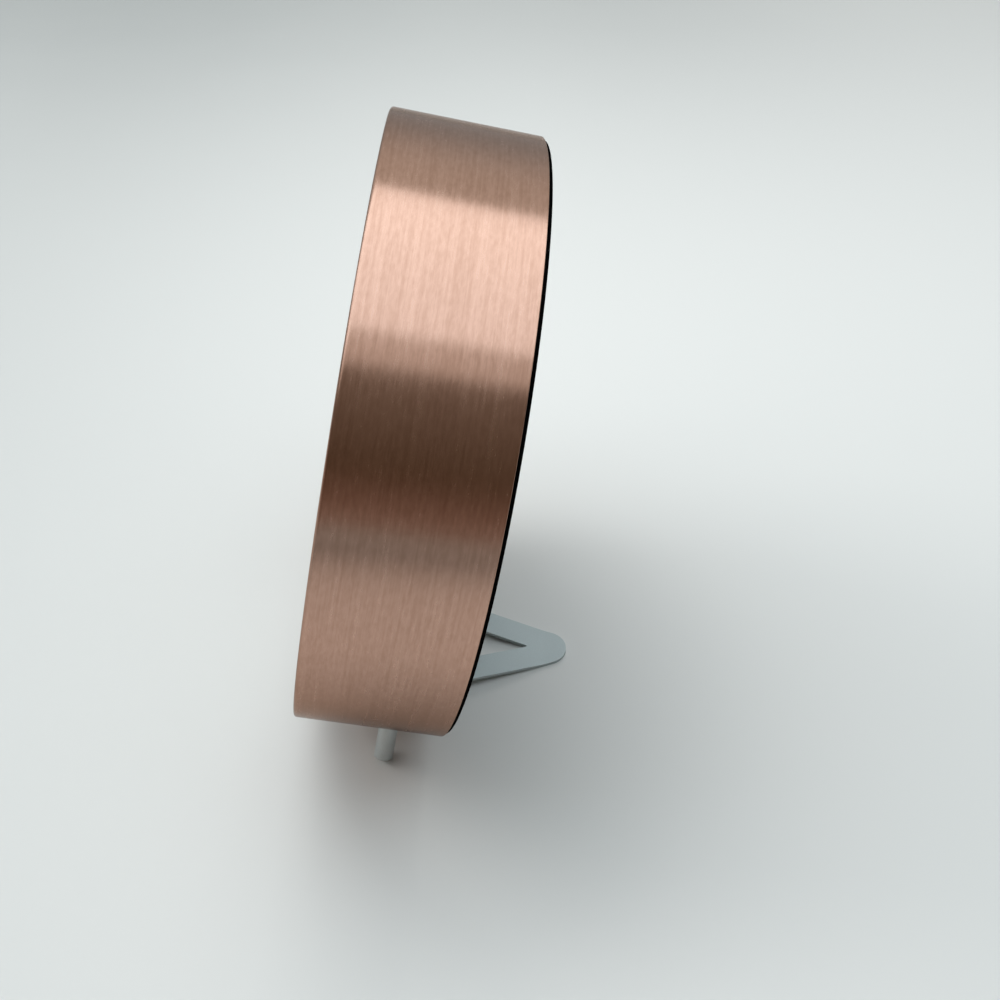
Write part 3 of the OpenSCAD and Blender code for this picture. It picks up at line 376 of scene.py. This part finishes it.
SATIN = finish("satin_grey", metal((0.46, 0.505, 0.502), (0.54, 0.59, 0.585), 0.46, 4200,
                                   metallic=0.25))
TURNED = finish("turned_steel", metal((0.58, 0.61, 0.60), (0.70, 0.73, 0.72), 0.34, 4200, metallic=0.5))
BRIGHT = finish("bright_nickel", metal((0.60, 0.60, 0.59), (0.74, 0.74, 0.73), 0.18, 2500, (1, 0.2, 1)))
SCREW = finish("blackened_steel", metal((0.030, 0.030, 0.032), (0.065, 0.065, 0.068), 0.3, 3000,
                                        metallic=0.7))
BRASS = finish("turned_brass", metal((0.58, 0.42, 0.17), (0.78, 0.60, 0.30), 0.22, 2600, (1, 1, 0.3)))
IRON = finish("drawn_iron", metal((0.27, 0.275, 0.285), (0.42, 0.425, 0.435), 0.38, 3200, (1, 0.15, 1)))
print("metals:", [m.name for m in (SATIN, TURNED, BRIGHT, SCREW, BRASS, IRON)])

# %% [markdown]
# ## Plastics, rubber, paint and board
# Moulded black plastic has the fine spark pattern of its tool, duller in the hollows, and the lip of the
# cover is a deeper, dead black. Acetal wheels are ivory and slightly waxy. The face is thin sheet with a
# warm white lacquer. All share one recipe with a grain and a cloud, because what sets them apart is
# tone, gloss and the size of the grain.

# %% Plastic finishes
def moulded(dark, light, rough, grain, depth, coat=0.0, gloss=0.5):
    def dress(place):
        spark = place.noise(grain, 4.0, 0.65)
        cloud = place.noise(45.0, 2.0)
        return {"Base Color": (0.6 * spark + 0.4 * cloud).step(0.25, 0.75).mix((*dark, 1), (*light, 1)),
                "Roughness": rough + 0.18 * spark - 0.06 * cloud, "Normal": spark.bump(0.3, depth),
                "Coat Weight": coat, "Coat Roughness": 0.25, "Specular IOR Level": gloss}
    return dress


LID = finish("matt_black", moulded((0.006, 0.006, 0.007), (0.026, 0.026, 0.028), 0.42, 1300, 0.00012,
                                   gloss=0.45))
LIP = finish("lip_black", moulded((0.001, 0.001, 0.001), (0.004, 0.004, 0.004), 0.75, 2200, 0.00002,
                                  gloss=0.0))
BLACK = finish("moulded_black", moulded((0.014, 0.014, 0.015), (0.038, 0.038, 0.040), 0.36, 1500,
                                        0.00010))
RUBBER = finish("black_rubber", moulded((0.008, 0.008, 0.008), (0.02, 0.02, 0.02), 0.7, 900, 0.00005))
IVORY = finish("ivory_acetal", moulded((0.66, 0.63, 0.54), (0.78, 0.76, 0.68), 0.32, 1500, 0.00002))
WHITE = finish("white_satin", moulded((0.82, 0.82, 0.80), (0.88, 0.88, 0.865), 0.38, 2000, 0.00002))
FACE = finish("face_lacquer", moulded((0.86, 0.85, 0.815), (0.92, 0.912, 0.885), 0.46, 2600, 0.00001))
HANDS = finish("hand_lacquer", moulded((0.010, 0.010, 0.011), (0.018, 0.018, 0.02), 0.26, 1800,
                                       0.00001, coat=0.4))
INK = finish("printing_ink", moulded((0.012, 0.012, 0.014), (0.03, 0.03, 0.032), 0.5, 1500, 0.00001))
GREEN = finish("green_board", moulded((0.02, 0.11, 0.04), (0.05, 0.19, 0.08), 0.3, 700, 0.00003,
                                      coat=0.3))
PLASTICS = (LID, LIP, BLACK, RUBBER, IVORY, WHITE, FACE, HANDS, INK, GREEN)
print("plastics and paints:", [m.name for m in PLASTICS])

# %% [markdown]
# ## The lens
# A flat disc of clear acrylic covers the hands. It is a closed solid, so the shader can bend light at
# both faces. Fingers leave a faint haze, which dulls the gloss a little.

# %% Clear acrylic
def clear_acrylic(place):
    haze = place.noise(40.0, 4.0).step(0.45, 0.8)
    return {"Base Color": haze.mix((0.985, 0.992, 0.988, 1), (0.965, 0.975, 0.97, 1)),
            "Roughness": 0.01 + 0.03 * haze, "Transmission Weight": 1.0, "IOR": 1.49}


LENS = finish("clear_acrylic", clear_acrylic)
print("made", LENS.name)

# %% [markdown]
# ## Turned pieces
# Band, pegs and battery are round, so each is a profile spun about an axis. `spin_profile` takes the
# profile as points of radius and height and joins its rings; a ring of radius zero becomes one point.
# `rounded` puts a small arc on the corners of a profile, because no real edge is perfectly sharp.
# `solid_piece` shades the result smoothly, up to the angle at which an edge counts as sharp.

# %% Lathe helpers
SHARP = math.radians(32)
ARC_STEPS = 6


def on_arc(radius, angle):
    """The point of a circle at an angle."""
    return radius * math.cos(angle), radius * math.sin(angle)


def rounded(points, radii):
    """The closed profile with an arc at each corner, of that corner's radius."""
    smooth = []
    for i, here in enumerate(points):
        here = Vector(here)
        back_way = (Vector(points[i - 1]) - here).normalized()
        on_way = (Vector(points[(i + 1) % len(points)]) - here).normalized()
        if radii[i] == 0:
            smooth.append(here)
            continue
        half = back_way.angle(on_way) / 2
        hub = here + (back_way + on_way).normalized() * radii[i] / math.sin(half)
        first = here + back_way * radii[i] / math.tan(half) - hub
        last = here + on_way * radii[i] / math.tan(half) - hub
        sweep = first.angle_signed(last)
        for k in range(ARC_STEPS + 1):
            smooth.append(hub + Matrix.Rotation(-sweep * k / ARC_STEPS, 2) @ first)
    return smooth


def spin_profile(name, profile, segments, matrix, closed=True):
    """Spins a profile of (radius, height) about z and returns the object."""
    work = bmesh.new()
    turns = [2 * math.pi * k / segments for k in range(segments)]
    rings = []
    for radius, height in profile:
        if radius < 1e-9:
            rings.append([work.verts.new((0, 0, height))] * segments)
        else:
            rings.append([work.verts.new((*on_arc(radius, t), height)) for t in turns])
    pairs = list(zip(rings, rings[1:])) + ([(rings[-1], rings[0])] if closed else [])
    for low, high in pairs:
        for k in range(segments):
            corners = [low[k - 1], low[k], high[k], high[k - 1]]
            corners = [c for i, c in enumerate(corners) if c not in corners[:i]]
            if len(corners) > 2:
                work.faces.new(corners)
    return solid_piece(name, work, matrix)


def solid_piece(name, work, matrix):
    """Finishes a bmesh: outward faces, smooth shading that breaks at sharp edges."""
    bmesh.ops.remove_doubles(work, verts=work.verts, dist=1e-8)
    bmesh.ops.recalc_face_normals(work, faces=work.faces)
    for face in work.faces:
        face.smooth = True
    for edge in work.edges:
        edge.smooth = len(edge.link_faces) == 2 and edge.calc_face_angle() < SHARP
    mesh = bpy.data.meshes.new(name)
    work.to_mesh(mesh)
    work.free()
    return mesh_piece(name, mesh, matrix)


def fit(piece, material, body, slot, *stands_for):
    """Gives a piece its finish, the body it rides on and the solids it stands for."""
    piece.data.materials.append(material)
    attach(piece, body)
    if stands_for:
        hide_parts(*stands_for)
    print(piece.name, len(piece.data.polygons), "faces")


square = [(1, 0), (2, 0), (2, 1), (1, 1)]
print("profile of a unit square, rounded:", len(rounded(square, [0.1] * 4)), "points")

# %% [markdown]
# ## The band
# One strip of sheet, rolled to a drum, with a narrow rim turned in at the front to hold the lens. Its
# front edge is plainly rounded, and its rear edge only broken. The peg studs pass through two small
# holes, cut with a boolean while the drum is still a plain shape. After the cut the normals of the
# outside are set to point straight out, so that the holes leave no ripple in the mirror of the band.

# %% Copper band
PEG_UP, PEG_TURN = 12 * MM, math.radians(26.5)
RIM_IN, RIM_T, WALL_IN = 77 * MM, 1.2 * MM, 78.8 * MM
BORE_R, BORE_FROM, BORE_TO = 1.55 * MM, 74 * MM, 82 * MM
SKIN = 0.02 * MM


def as_mesh(thing):
    """The mesh of an object as it looks with its modifiers."""
    bpy.context.view_layer.update()
    return bpy.data.meshes.new_from_object(thing.evaluated_get(bpy.context.evaluated_depsgraph_get()))


def drill(piece, tools):
    """Cuts the tools out of a piece and removes them."""
    for tool in tools:
        cut = piece.modifiers.new("cut", "BOOLEAN")
        cut.operation, cut.solver, cut.object = "DIFFERENCE", "EXACT", tool
    cut_mesh = as_mesh(piece)
    piece.modifiers.clear()
    piece.data = cut_mesh
    for tool in tools:
        bpy.data.objects.remove(tool)


def peg_frame(side):
    """Frame of a peg: z runs from the axle out along the peg."""
    lift = Matrix.Translation((0, 0, PEG_UP))
    turn = Matrix.Rotation(PEG_TURN * side, 4, "Z")
    return DIAL @ lift @ turn @ Matrix.Rotation(math.radians(90), 4, "X")


rim_back = band_depth - RIM_T
outline = [(WALL_IN, 0), (band_r, 0), (band_r, band_depth), (RIM_IN, band_depth), (RIM_IN, rim_back),
           (WALL_IN, rim_back)]
radii = [0, 0.12 * MM, 0.8 * MM, 0.2 * MM, 0.1 * MM, 0]
band = spin_profile("copper_band", rounded(outline, radii), 420, DIAL)
bore = [(0, BORE_FROM), (BORE_R, BORE_FROM), (BORE_R, BORE_TO), (0, BORE_TO)]
bores = [spin_profile("bore", bore, 32, peg_frame(side), closed=False) for side in (-1, 1)]
drill(band, bores)
straight_out = []
for face in band.data.polygons:
    flank = abs(face.normal.z) < 0.01
    for v in face.vertices:
        at = band.data.vertices[v].co
        on_skin = flank and abs(Vector((at.x, at.y)).length - band_r) < SKIN
        straight_out.append(Vector((at.x, at.y, 0)).normalized() if on_skin else Vector((0, 0, 0)))
band.data.normals_split_custom_set(straight_out)
fit(band, COPPER, "case", "copper_band", "case_band")

# %% [markdown]
# ## The back cover
# A black moulded lid closes the drum. Its lip shows behind the band as a thin dark line. A square window
# in the middle leaves the movement open to the hand. The window is square and the edge is round, so the
# cover is lofted: every ring has the same number of points, taken at the same angles, and some rings
# follow the circle and others the rounded square. The rings run from the lip over a shallow groove to
# the window, through it, and back along the inside to the skirt that sits in the band.

# %% Loft helpers
def window_ring(half, corner_r):
    """Points of a rounded square, close together at the corners."""
    flat = half - corner_r
    limit = math.atan2(flat, half)
    side = [(half, half * math.tan(limit * k / 24)) for k in range(-24, 25)]
    bend = [Vector((flat, flat)) + Vector(on_arc(corner_r, math.radians(9 * k))) for k in range(1, 10)]
    ring = []
    for quarter in range(4):
        turn = Matrix.Rotation(math.radians(90 * quarter), 2)
        ring += [turn @ Vector(p) for p in side + bend]
    return ring


def circle_ring(radius):
    """Points of a circle at the same angles as the window's points."""
    return [p.normalized() * radius for p in window_ring(1.0, 0.12)]


def loft(name, rings, matrix):
    """Joins rings of equally many points, last to first, into one solid."""
    work = bmesh.new()
    loops = [[work.verts.new((p[0], p[1], z)) for p in ring] for ring, z in rings]
    for low, high in zip(loops, loops[1:] + loops[:1]):
        for k in range(len(low)):
            work.faces.new((low[k - 1], low[k], high[k], high[k - 1]))
    return solid_piece(name, work, matrix)


print("points of a ring:", len(circle_ring(1.0)))

# %% Cover
LIP_STEP, LIP_W = 0.7 * MM, 0.4 * MM
OPENING, OPENING_CORNER = 28.6, 3.6
LIP_EDGE = ((0.0, 0.0), (0.0, -0.45), (0.06, -0.75), (0.22, -0.93), (0.45, -1.0))
GROOVE = ((71.6, -1.0), (71.4, -0.72), (70.4, -0.72), (70.2, -1.0))
OPENING_EDGE = ((1.4, -1.0), (0.3, -1.0), (0.08, -0.92), (0.0, -0.7), (0.0, 3.0), (1.2, 3.0), (1.2, 1.0))
SKIRT = ((77.0, 1.0), (77.0, 4.0), (78.5, 4.0), (78.5, 0.0))
lip_r = band_r - LIP_STEP
rings = [(circle_ring(lip_r - inset * MM), z * MM) for inset, z in LIP_EDGE]
rings += [(circle_ring(r * MM), z * MM) for r, z in GROOVE]
rings += [(window_ring((OPENING + grow) * MM, (OPENING_CORNER + grow) * MM), z * MM)
          for grow, z in OPENING_EDGE]
rings += [(circle_ring(r * MM), z * MM) for r, z in SKIRT]
cover = loft("back_cover_shell", rings, DIAL)
fit(cover, LID, "case", "black_plastic", "back_cover")
cover.data.materials.append(LIP)
for face in cover.data.polygons:
    face.material_index = int(math.hypot(face.center.x, face.center.y) > lip_r - LIP_W)

# %% [markdown]
# ## The pegs
# Each peg is a short turned rod with a chamfered end and a thinner threaded stud that goes through the
# band. The thread is a stack of small ridges on the profile.

# %% Pegs
STUD_END, PITCH, RIDGES = 74.6, 0.62, 8
CORE_R, ROOT_R, CREST_R = 1.2, 1.28, 1.48
PEG_R, PEG_TOP, PEG_END = 2.75, 80.02, 97.0
profile = [(0, STUD_END), (CORE_R, STUD_END)]
for k in range(RIDGES):
    low = STUD_END + 0.2 + PITCH * k
    profile += [(ROOT_R, low), (CREST_R, low + 0.2), (CREST_R, low + 0.34)]
profile += [(ROOT_R, PEG_TOP), (PEG_R, PEG_TOP), (PEG_R, PEG_TOP + 0.28), (PEG_R, PEG_END - 0.5)]
profile += [(PEG_R - 0.04, PEG_END - 0.36), (PEG_R - 0.36, PEG_END - 0.04), (PEG_R - 0.47, PEG_END)]
profile = [(r * MM, h * MM) for r, h in profile + [(0, PEG_END)]]
for side, word in ((-1, "left"), (1, "right")):
    peg = spin_profile("peg_" + word, profile, 72, peg_frame(side), closed=False)
    fit(peg, TURNED, "case", "satin_steel", "front_foot_" + word)

# %% [markdown]
# ## The sheet leg
# The leg is cut from 1 mm sheet as a V, folded at the cover and flattened at the toe. It could be a
# plain extrusion, but then the fold would be faceted. Here the sheet is walked from its top to its toe:
# each station gives a point of the underside, the way the sheet faces, and how far the arm reaches from
# the middle plane. Top and underside are then joined station by station, and a bevel softens the edges.

# %% Path of the leg
SHEET, ARM, TOE, FLAT, NOOK = 1.0, 8.5, 6.7, 7.0, 0.4
FOLD, EASE, BELOW, SCREW_UP, LID_T = 2.5, 1.5, 1.1, 16, 1
half_v = math.radians(20)


def in_room(y, z):
    """A point of the middle plane, from the dial frame to the room, in millimetres."""
    spot = DIAL @ Vector((0, y * MM, z * MM))
    return Vector((spot.y, spot.z)) / MM


fold_up = -BELOW - band_r / MM + FOLD
hub = in_room(fold_up, -LID_T - FOLD)
tip_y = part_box("rear_leg")[1].y / MM
flat_y = tip_y - FLAT
fall = math.atan2(hub.y, flat_y - hub.x) - math.asin(FOLD / math.hypot(hub.y, flat_y - hub.x))
toe_y = tip_y - TOE
fold_end_y = hub.x - (FOLD - SHEET) * math.sin(fall)


def arm_edge(off, y):
    """Distance of an arm's edge from the middle plane, at the room's y."""
    return (off + (toe_y - y) * math.sin(half_v)) / math.cos(half_v)


arm_out, arm_in = arm_edge(TOE, fold_end_y), arm_edge(TOE - ARM, fold_end_y)
arm_mid, arm_half = (arm_out + arm_in) / 2, (arm_out - arm_in) / 2
print("fall of the arms:", round(math.degrees(fall), 2))
print("arm from", round(arm_in, 2), "to", round(arm_out, 2))


# %% Stations of the leg
def reach(y):
    """Inner and outer edge of an arm at the room's y; the inner corner is slightly rounded."""
    tangent = toe_y + TOE * math.sin(half_v)
    outer = arm_edge(TOE, y) if y < tangent else math.sqrt(max(0.0, TOE ** 2 - (y - toe_y) ** 2))
    nook_y = toe_y - (ARM - TOE) / math.sin(half_v) - NOOK / math.sin(half_v)
    if y < nook_y + NOOK * math.sin(half_v):
        return arm_edge(TOE - ARM, y), outer
    return math.sqrt(max(0.0, NOOK ** 2 - (y - nook_y) ** 2)), outer


stations = []
screw_up = fold_up + SCREW_UP
for k in range(13):
    turn = math.radians(90 - 7.5 * k)
    width = arm_half * math.cos(turn)
    spot = in_room(screw_up + arm_half * math.sin(turn), -LID_T)
    stations.append((spot, -lean, arm_mid - width, arm_mid + width))
stations.append((in_room(screw_up - SCREW_UP / 2, -LID_T), -lean, arm_in, arm_out))
first_ray, last_ray = math.pi - lean, 1.5 * math.pi - fall
for k in range(17):
    ray = first_ray + (last_ray - first_ray) * k / 16
    spot = hub + FOLD * Vector((math.cos(ray), math.sin(ray)))
    stations.append((spot, ray + math.pi, arm_in, arm_out))
start_y, ease_y = stations[-1][0].x, flat_y - EASE
for k in range(1, 31):
    y = start_y + (ease_y - start_y) * k / 30
    low = (flat_y - y) * math.tan(fall)
    inner, outer = (arm_in, arm_out) if y < fold_end_y else reach(y)
    stations.append((Vector((y, low)), math.pi / 2 - fall, inner, outer))
for k in range(1, 9):
    share = k / 8
    y = ease_y + 2 * EASE * share
    tilt = fall * (1 - share)
    low = EASE * math.tan(fall) * (1 - share) ** 2
    stations.append((Vector((y, low)), math.pi / 2 - tilt, *reach(y)))
turn_from = math.asin(min(1.0, (flat_y + EASE - toe_y) / TOE))
for k in range(1, 25):
    y = toe_y + TOE * math.sin(turn_from + (math.pi / 2 - turn_from) * k / 24)
    stations.append((Vector((y, 0.0)), math.pi / 2, *reach(y)))
print("stations along the sheet:", len(stations))


# %% Sheet from the stations
STRIPS = 6


def sheet_half(work, side):
    """One arm of the leg, from its stations."""
    rows = []
    for spot, facing, inner, outer in stations:
        over = spot + SHEET * Vector((math.cos(facing), math.sin(facing)))
        xs = [side * (inner + (outer - inner) * k / STRIPS) for k in range(STRIPS + 1)]
        rows.append([[work.verts.new((x * MM, p.x * MM, p.y * MM)) for x in xs] for p in (spot, over)])
    for (low_a, high_a), (low_b, high_b) in zip(rows, rows[1:]):
        for k in range(STRIPS):
            work.faces.new((low_a[k], low_a[k + 1], low_b[k + 1], low_b[k]))
            work.faces.new((high_a[k], high_b[k], high_b[k + 1], high_a[k + 1]))
        work.faces.new((low_a[-1], high_a[-1], high_b[-1], low_b[-1]))
        if abs(low_a[0].co.x) + abs(low_b[0].co.x) > 1e-9:
            work.faces.new((low_a[0], low_b[0], high_b[0], high_a[0]))


work = bmesh.new()
sheet_half(work, 1)
sheet_half(work, -1)
bmesh.ops.remove_doubles(work, verts=work.verts, dist=1e-7)
bmesh.ops.dissolve_degenerate(work, edges=work.edges, dist=1e-7)
leg = solid_piece("sheet_leg", work, None)
soften = leg.modifiers.new("soften", "BEVEL")
soften.width, soften.segments, soften.angle_limit = 0.22 * MM, 3, math.radians(50)
fit(leg, SATIN, "case", "satin_steel", "rear_leg")

# %% [markdown]
# ## The printed face
# The face can't be seen in the picture, so it is a plain one: hour bars and minute ticks that end on a
# fine ring, and numbers. Ink stands a few hundredths of a millimetre proud of the lacquer. Ticks and
# ring are thin solids in one mesh, and the numbers are text, turned into mesh and joined to it.

# %% Plates and rings
def plate(work, points, low, high):
    """A flat solid from a polygon, between two heights."""
    base = [work.verts.new((*p, low)) for p in points]
    lid = [work.verts.new((*p, high)) for p in points]
    work.faces.new(base[::-1])
    work.faces.new(lid)
    for k in range(len(points)):
        work.faces.new((base[k - 1], base[k], lid[k], lid[k - 1]))


def fine_ring(work, r_in, r_out, low, high, first=0.0, last=2 * math.pi, steps=240):
    """A flat ring or part of a ring, made of short plates that share their ends."""
    for k in range(steps):
        a, b = (first + (last - first) * q / steps for q in (k, k + 1))
        plate(work, [on_arc(r_in, a), on_arc(r_out, a), on_arc(r_out, b), on_arc(r_in, b)], low, high)


print("flat shapes ready:", plate.__name__, fine_ring.__name__)

# %% Dial print
INK_H = 0.04 * MM
HOUR_BAR, MINUTE_BAR = (1.5, 64.5), (0.45, 69.6)
TRACK_IN, TRACK_OUT = 72.4, 72.75
NUMBER_R, NUMBER_H = 54.5 * MM, 13.5 * MM
work = bmesh.new()
ink_low, ink_high = dial_top, dial_top + INK_H
for k in range(60):
    turn = Matrix.Rotation(math.radians(6 * k), 2)
    width, inner = HOUR_BAR if k % 5 == 0 else MINUTE_BAR
    bar = [(-width / 2, inner), (width / 2, inner), (width / 2, TRACK_IN), (-width / 2, TRACK_IN)]
    plate(work, [turn @ Vector((x * MM, y * MM)) for x, y in bar], ink_low, ink_high)
fine_ring(work, TRACK_IN * MM, TRACK_OUT * MM, ink_low, ink_high)
for hour in range(1, 13):
    text = bpy.data.curves.new("hour", "FONT")
    text.body, text.size, text.extrude = str(hour), NUMBER_H, INK_H / 2
    text.align_x, text.align_y = "CENTER", "CENTER"
    word = bpy.data.objects.new("hour", text)
    bpy.context.scene.collection.objects.link(word)
    shape = as_mesh(word)
    lows, highs = ([f(v.co[i] for v in shape.vertices) for i in (0, 1)] for f in (min, max))
    x, y = on_arc(NUMBER_R, math.radians(90 - 30 * hour))
    shape.transform(Matrix.Translation((x - (lows[0] + highs[0]) / 2, y - (lows[1] + highs[1]) / 2,
                                        dial_top + INK_H / 2)))
    work.from_mesh(shape)
    bpy.data.objects.remove(word)
dial_print = solid_piece("dial_print", work, DIAL)
fit(dial_print, INK, "case", "dial_face")

# %% [markdown]
# ## The battery
# A round cell lies in the open bay of the movement. Its steel can is rolled over at both ends, with a
# stud on the positive end, and a printed sleeve covers the can. The sleeve stays plain: a dark field
# and one pale end, so that the poles can be told apart.

# %% Battery sleeve
PALE_FROM = 36.8 * MM


def battery_sleeve(place):
    pale = place.along("Z").step(PALE_FROM, PALE_FROM + 0.2 * MM)
    grain = place.noise(900.0, 3.0)
    field = grain.mix((0.045, 0.075, 0.12, 1), (0.06, 0.095, 0.15, 1))
    return {"Base Color": pale.mix(field, (0.55, 0.57, 0.58, 1)), "Metallic": 0.25,
            "Roughness": 0.3 + 0.1 * grain, "Normal": grain.bump(0.08, 0.00002), "Coat Weight": 0.5}


SLEEVE = finish("battery_sleeve", battery_sleeve)
print("made", SLEEVE.name)

# %% Battery
SLEEVE_EDGE = 0.9 * MM
cell_low, cell_high = dial_box("battery")
cell_r = (cell_high.y - cell_low.y) / 2
middle_y, middle_z = (cell_low.y + cell_high.y) / 2, (cell_low.z + cell_high.z) / 2
lying = DIAL @ Matrix.Translation((cell_low.x, middle_y, middle_z))
lying = lying @ Matrix.Rotation(math.radians(90), 4, "Y")
r = cell_r / MM
base = [(0, 0.25), (4.3, 0.25), (4.6, 0.5), (5.6, 0.5), (5.9, 0.25), (6.3, 0.0)]
can = [(r - 0.5, 0.0), (r - 0.15, 0.15), (r, 0.5), (r, 48.6), (r - 0.15, 49.0), (r - 0.5, 49.2),
       (r - 0.9, 49.1), (r - 1.1, 48.7)]
stud = [(3.4, 48.7), (3.1, 48.9), (2.7, 49.3), (2.7, 50.1), (2.5, 50.35), (2.2, 50.4), (0, 50.4)]
profile = [(radius * MM, height * MM) for radius, height in base + can + stud]
battery = spin_profile("battery_cell", profile, 96, lying, closed=False)
fit(battery, SLEEVE, "case", "battery_wrap", "battery")
battery.data.materials.append(BRIGHT)
for face in battery.data.polygons:
    spot = face.center
    face.material_index = int(math.hypot(spot.x, spot.y) < cell_r - SLEEVE_EDGE)
print("cell length", round(battery.dimensions.z, 4))

# %% [markdown]
# ## Moulded marks on the movement
# The rear plate of the movement carries a few raised marks, as such plates do: a bent arrow beside the
# knob shows that it turns, and a plus and a minus show the poles of the battery.

# %% Raised marks
MARK_UP, MARK_SUNK = 0.25 * MM, 0.05 * MM
ARROW_R, ARROW_W, HEAD_W = 9.8 * MM, 1.0 * MM, 2.8 * MM
ARROW_END, HEAD_TURN = math.radians(50), math.radians(14)
POLE_X, POLE_Y = 22.0, -7.2
LYING_BAR, UPRIGHT_BAR = (2.0, 0.4), (0.4, 2.0)
plate_out = dial_box("movement_cover")[0].z
knob_low, knob_high = dial_box("setting_knob")
knob_at = Vector(((knob_low.x + knob_high.x) / 2, (knob_low.y + knob_high.y) / 2))
low, high = plate_out - MARK_UP, plate_out + MARK_SUNK
work = bmesh.new()
fine_ring(work, ARROW_R - ARROW_W / 2, ARROW_R + ARROW_W / 2, low, high, -ARROW_END, ARROW_END, 40)
for sign in (-1, 1):
    way, tip = sign * ARROW_END, sign * (ARROW_END + HEAD_TURN)
    head = [on_arc(ARROW_R - HEAD_W / 2, way), on_arc(ARROW_R + HEAD_W / 2, way), on_arc(ARROW_R, tip)]
    plate(work, head[::sign], low, high)
bmesh.ops.translate(work, verts=work.verts, vec=(knob_at.x, knob_at.y, 0))
for pole_x, bars in ((POLE_X, (LYING_BAR, UPRIGHT_BAR)), (-POLE_X, (LYING_BAR,))):
    for w, h in bars:
        corners = [(-w, -h), (w, -h), (w, h), (-w, h)]
        plate(work, [((pole_x + x) * MM, (POLE_Y + y) * MM) for x, y in corners], low, high)
marks = solid_piece("plate_marks", work, DIAL)
fit(marks, BLACK, "case", "black_plastic")

# %% [markdown]
# ## Finishes for the remaining solids
# The other pieces keep their CAD shape, which is exact already: wheels, arbors, screws, nuts, the parts
# of the motor. The record says which piece takes which finish. A bevel takes the knife edge off those
# that can be seen from outside.

# %% Dress the CAD solids
FINISHES = {"copper_band": COPPER, "lens_glass": LENS, "white_ring": WHITE, "dial_face": FACE,
            "black_plastic": BLACK, "satin_steel": SATIN, "dark_screws": SCREW, "bright_steel": BRIGHT,
            "rubber_pad": RUBBER, "brass": BRASS, "ivory_plastic": IVORY, "soft_iron": IRON,
            "copper_wire": WIRE, "board_green": GREEN, "battery_wrap": SLEEVE, "black_hands": HANDS,
            "copper_hand": SWEEP}
EDGES = {"hour_hand": 0.14, "minute_hand": 0.14, "second_hand": 0.1, "bush_nut": 0.2, "setting_knob": 0.2,
         "movement_cover": 0.25, "cover_screws": 0.1, "leg_screws": 0.1}
for node in nodes.values():
    for holder in node.material_slots:
        holder.material = FINISHES[holder.material.name.split(".")[0]]
for name, width in EDGES.items():
    edge = nodes[name].modifiers.new("edge", "BEVEL")
    edge.width, edge.segments, edge.angle_limit = width * MM, 2, math.radians(40)
    edge.harden_normals = True
print("solids dressed:", len(nodes))

# %% [markdown]
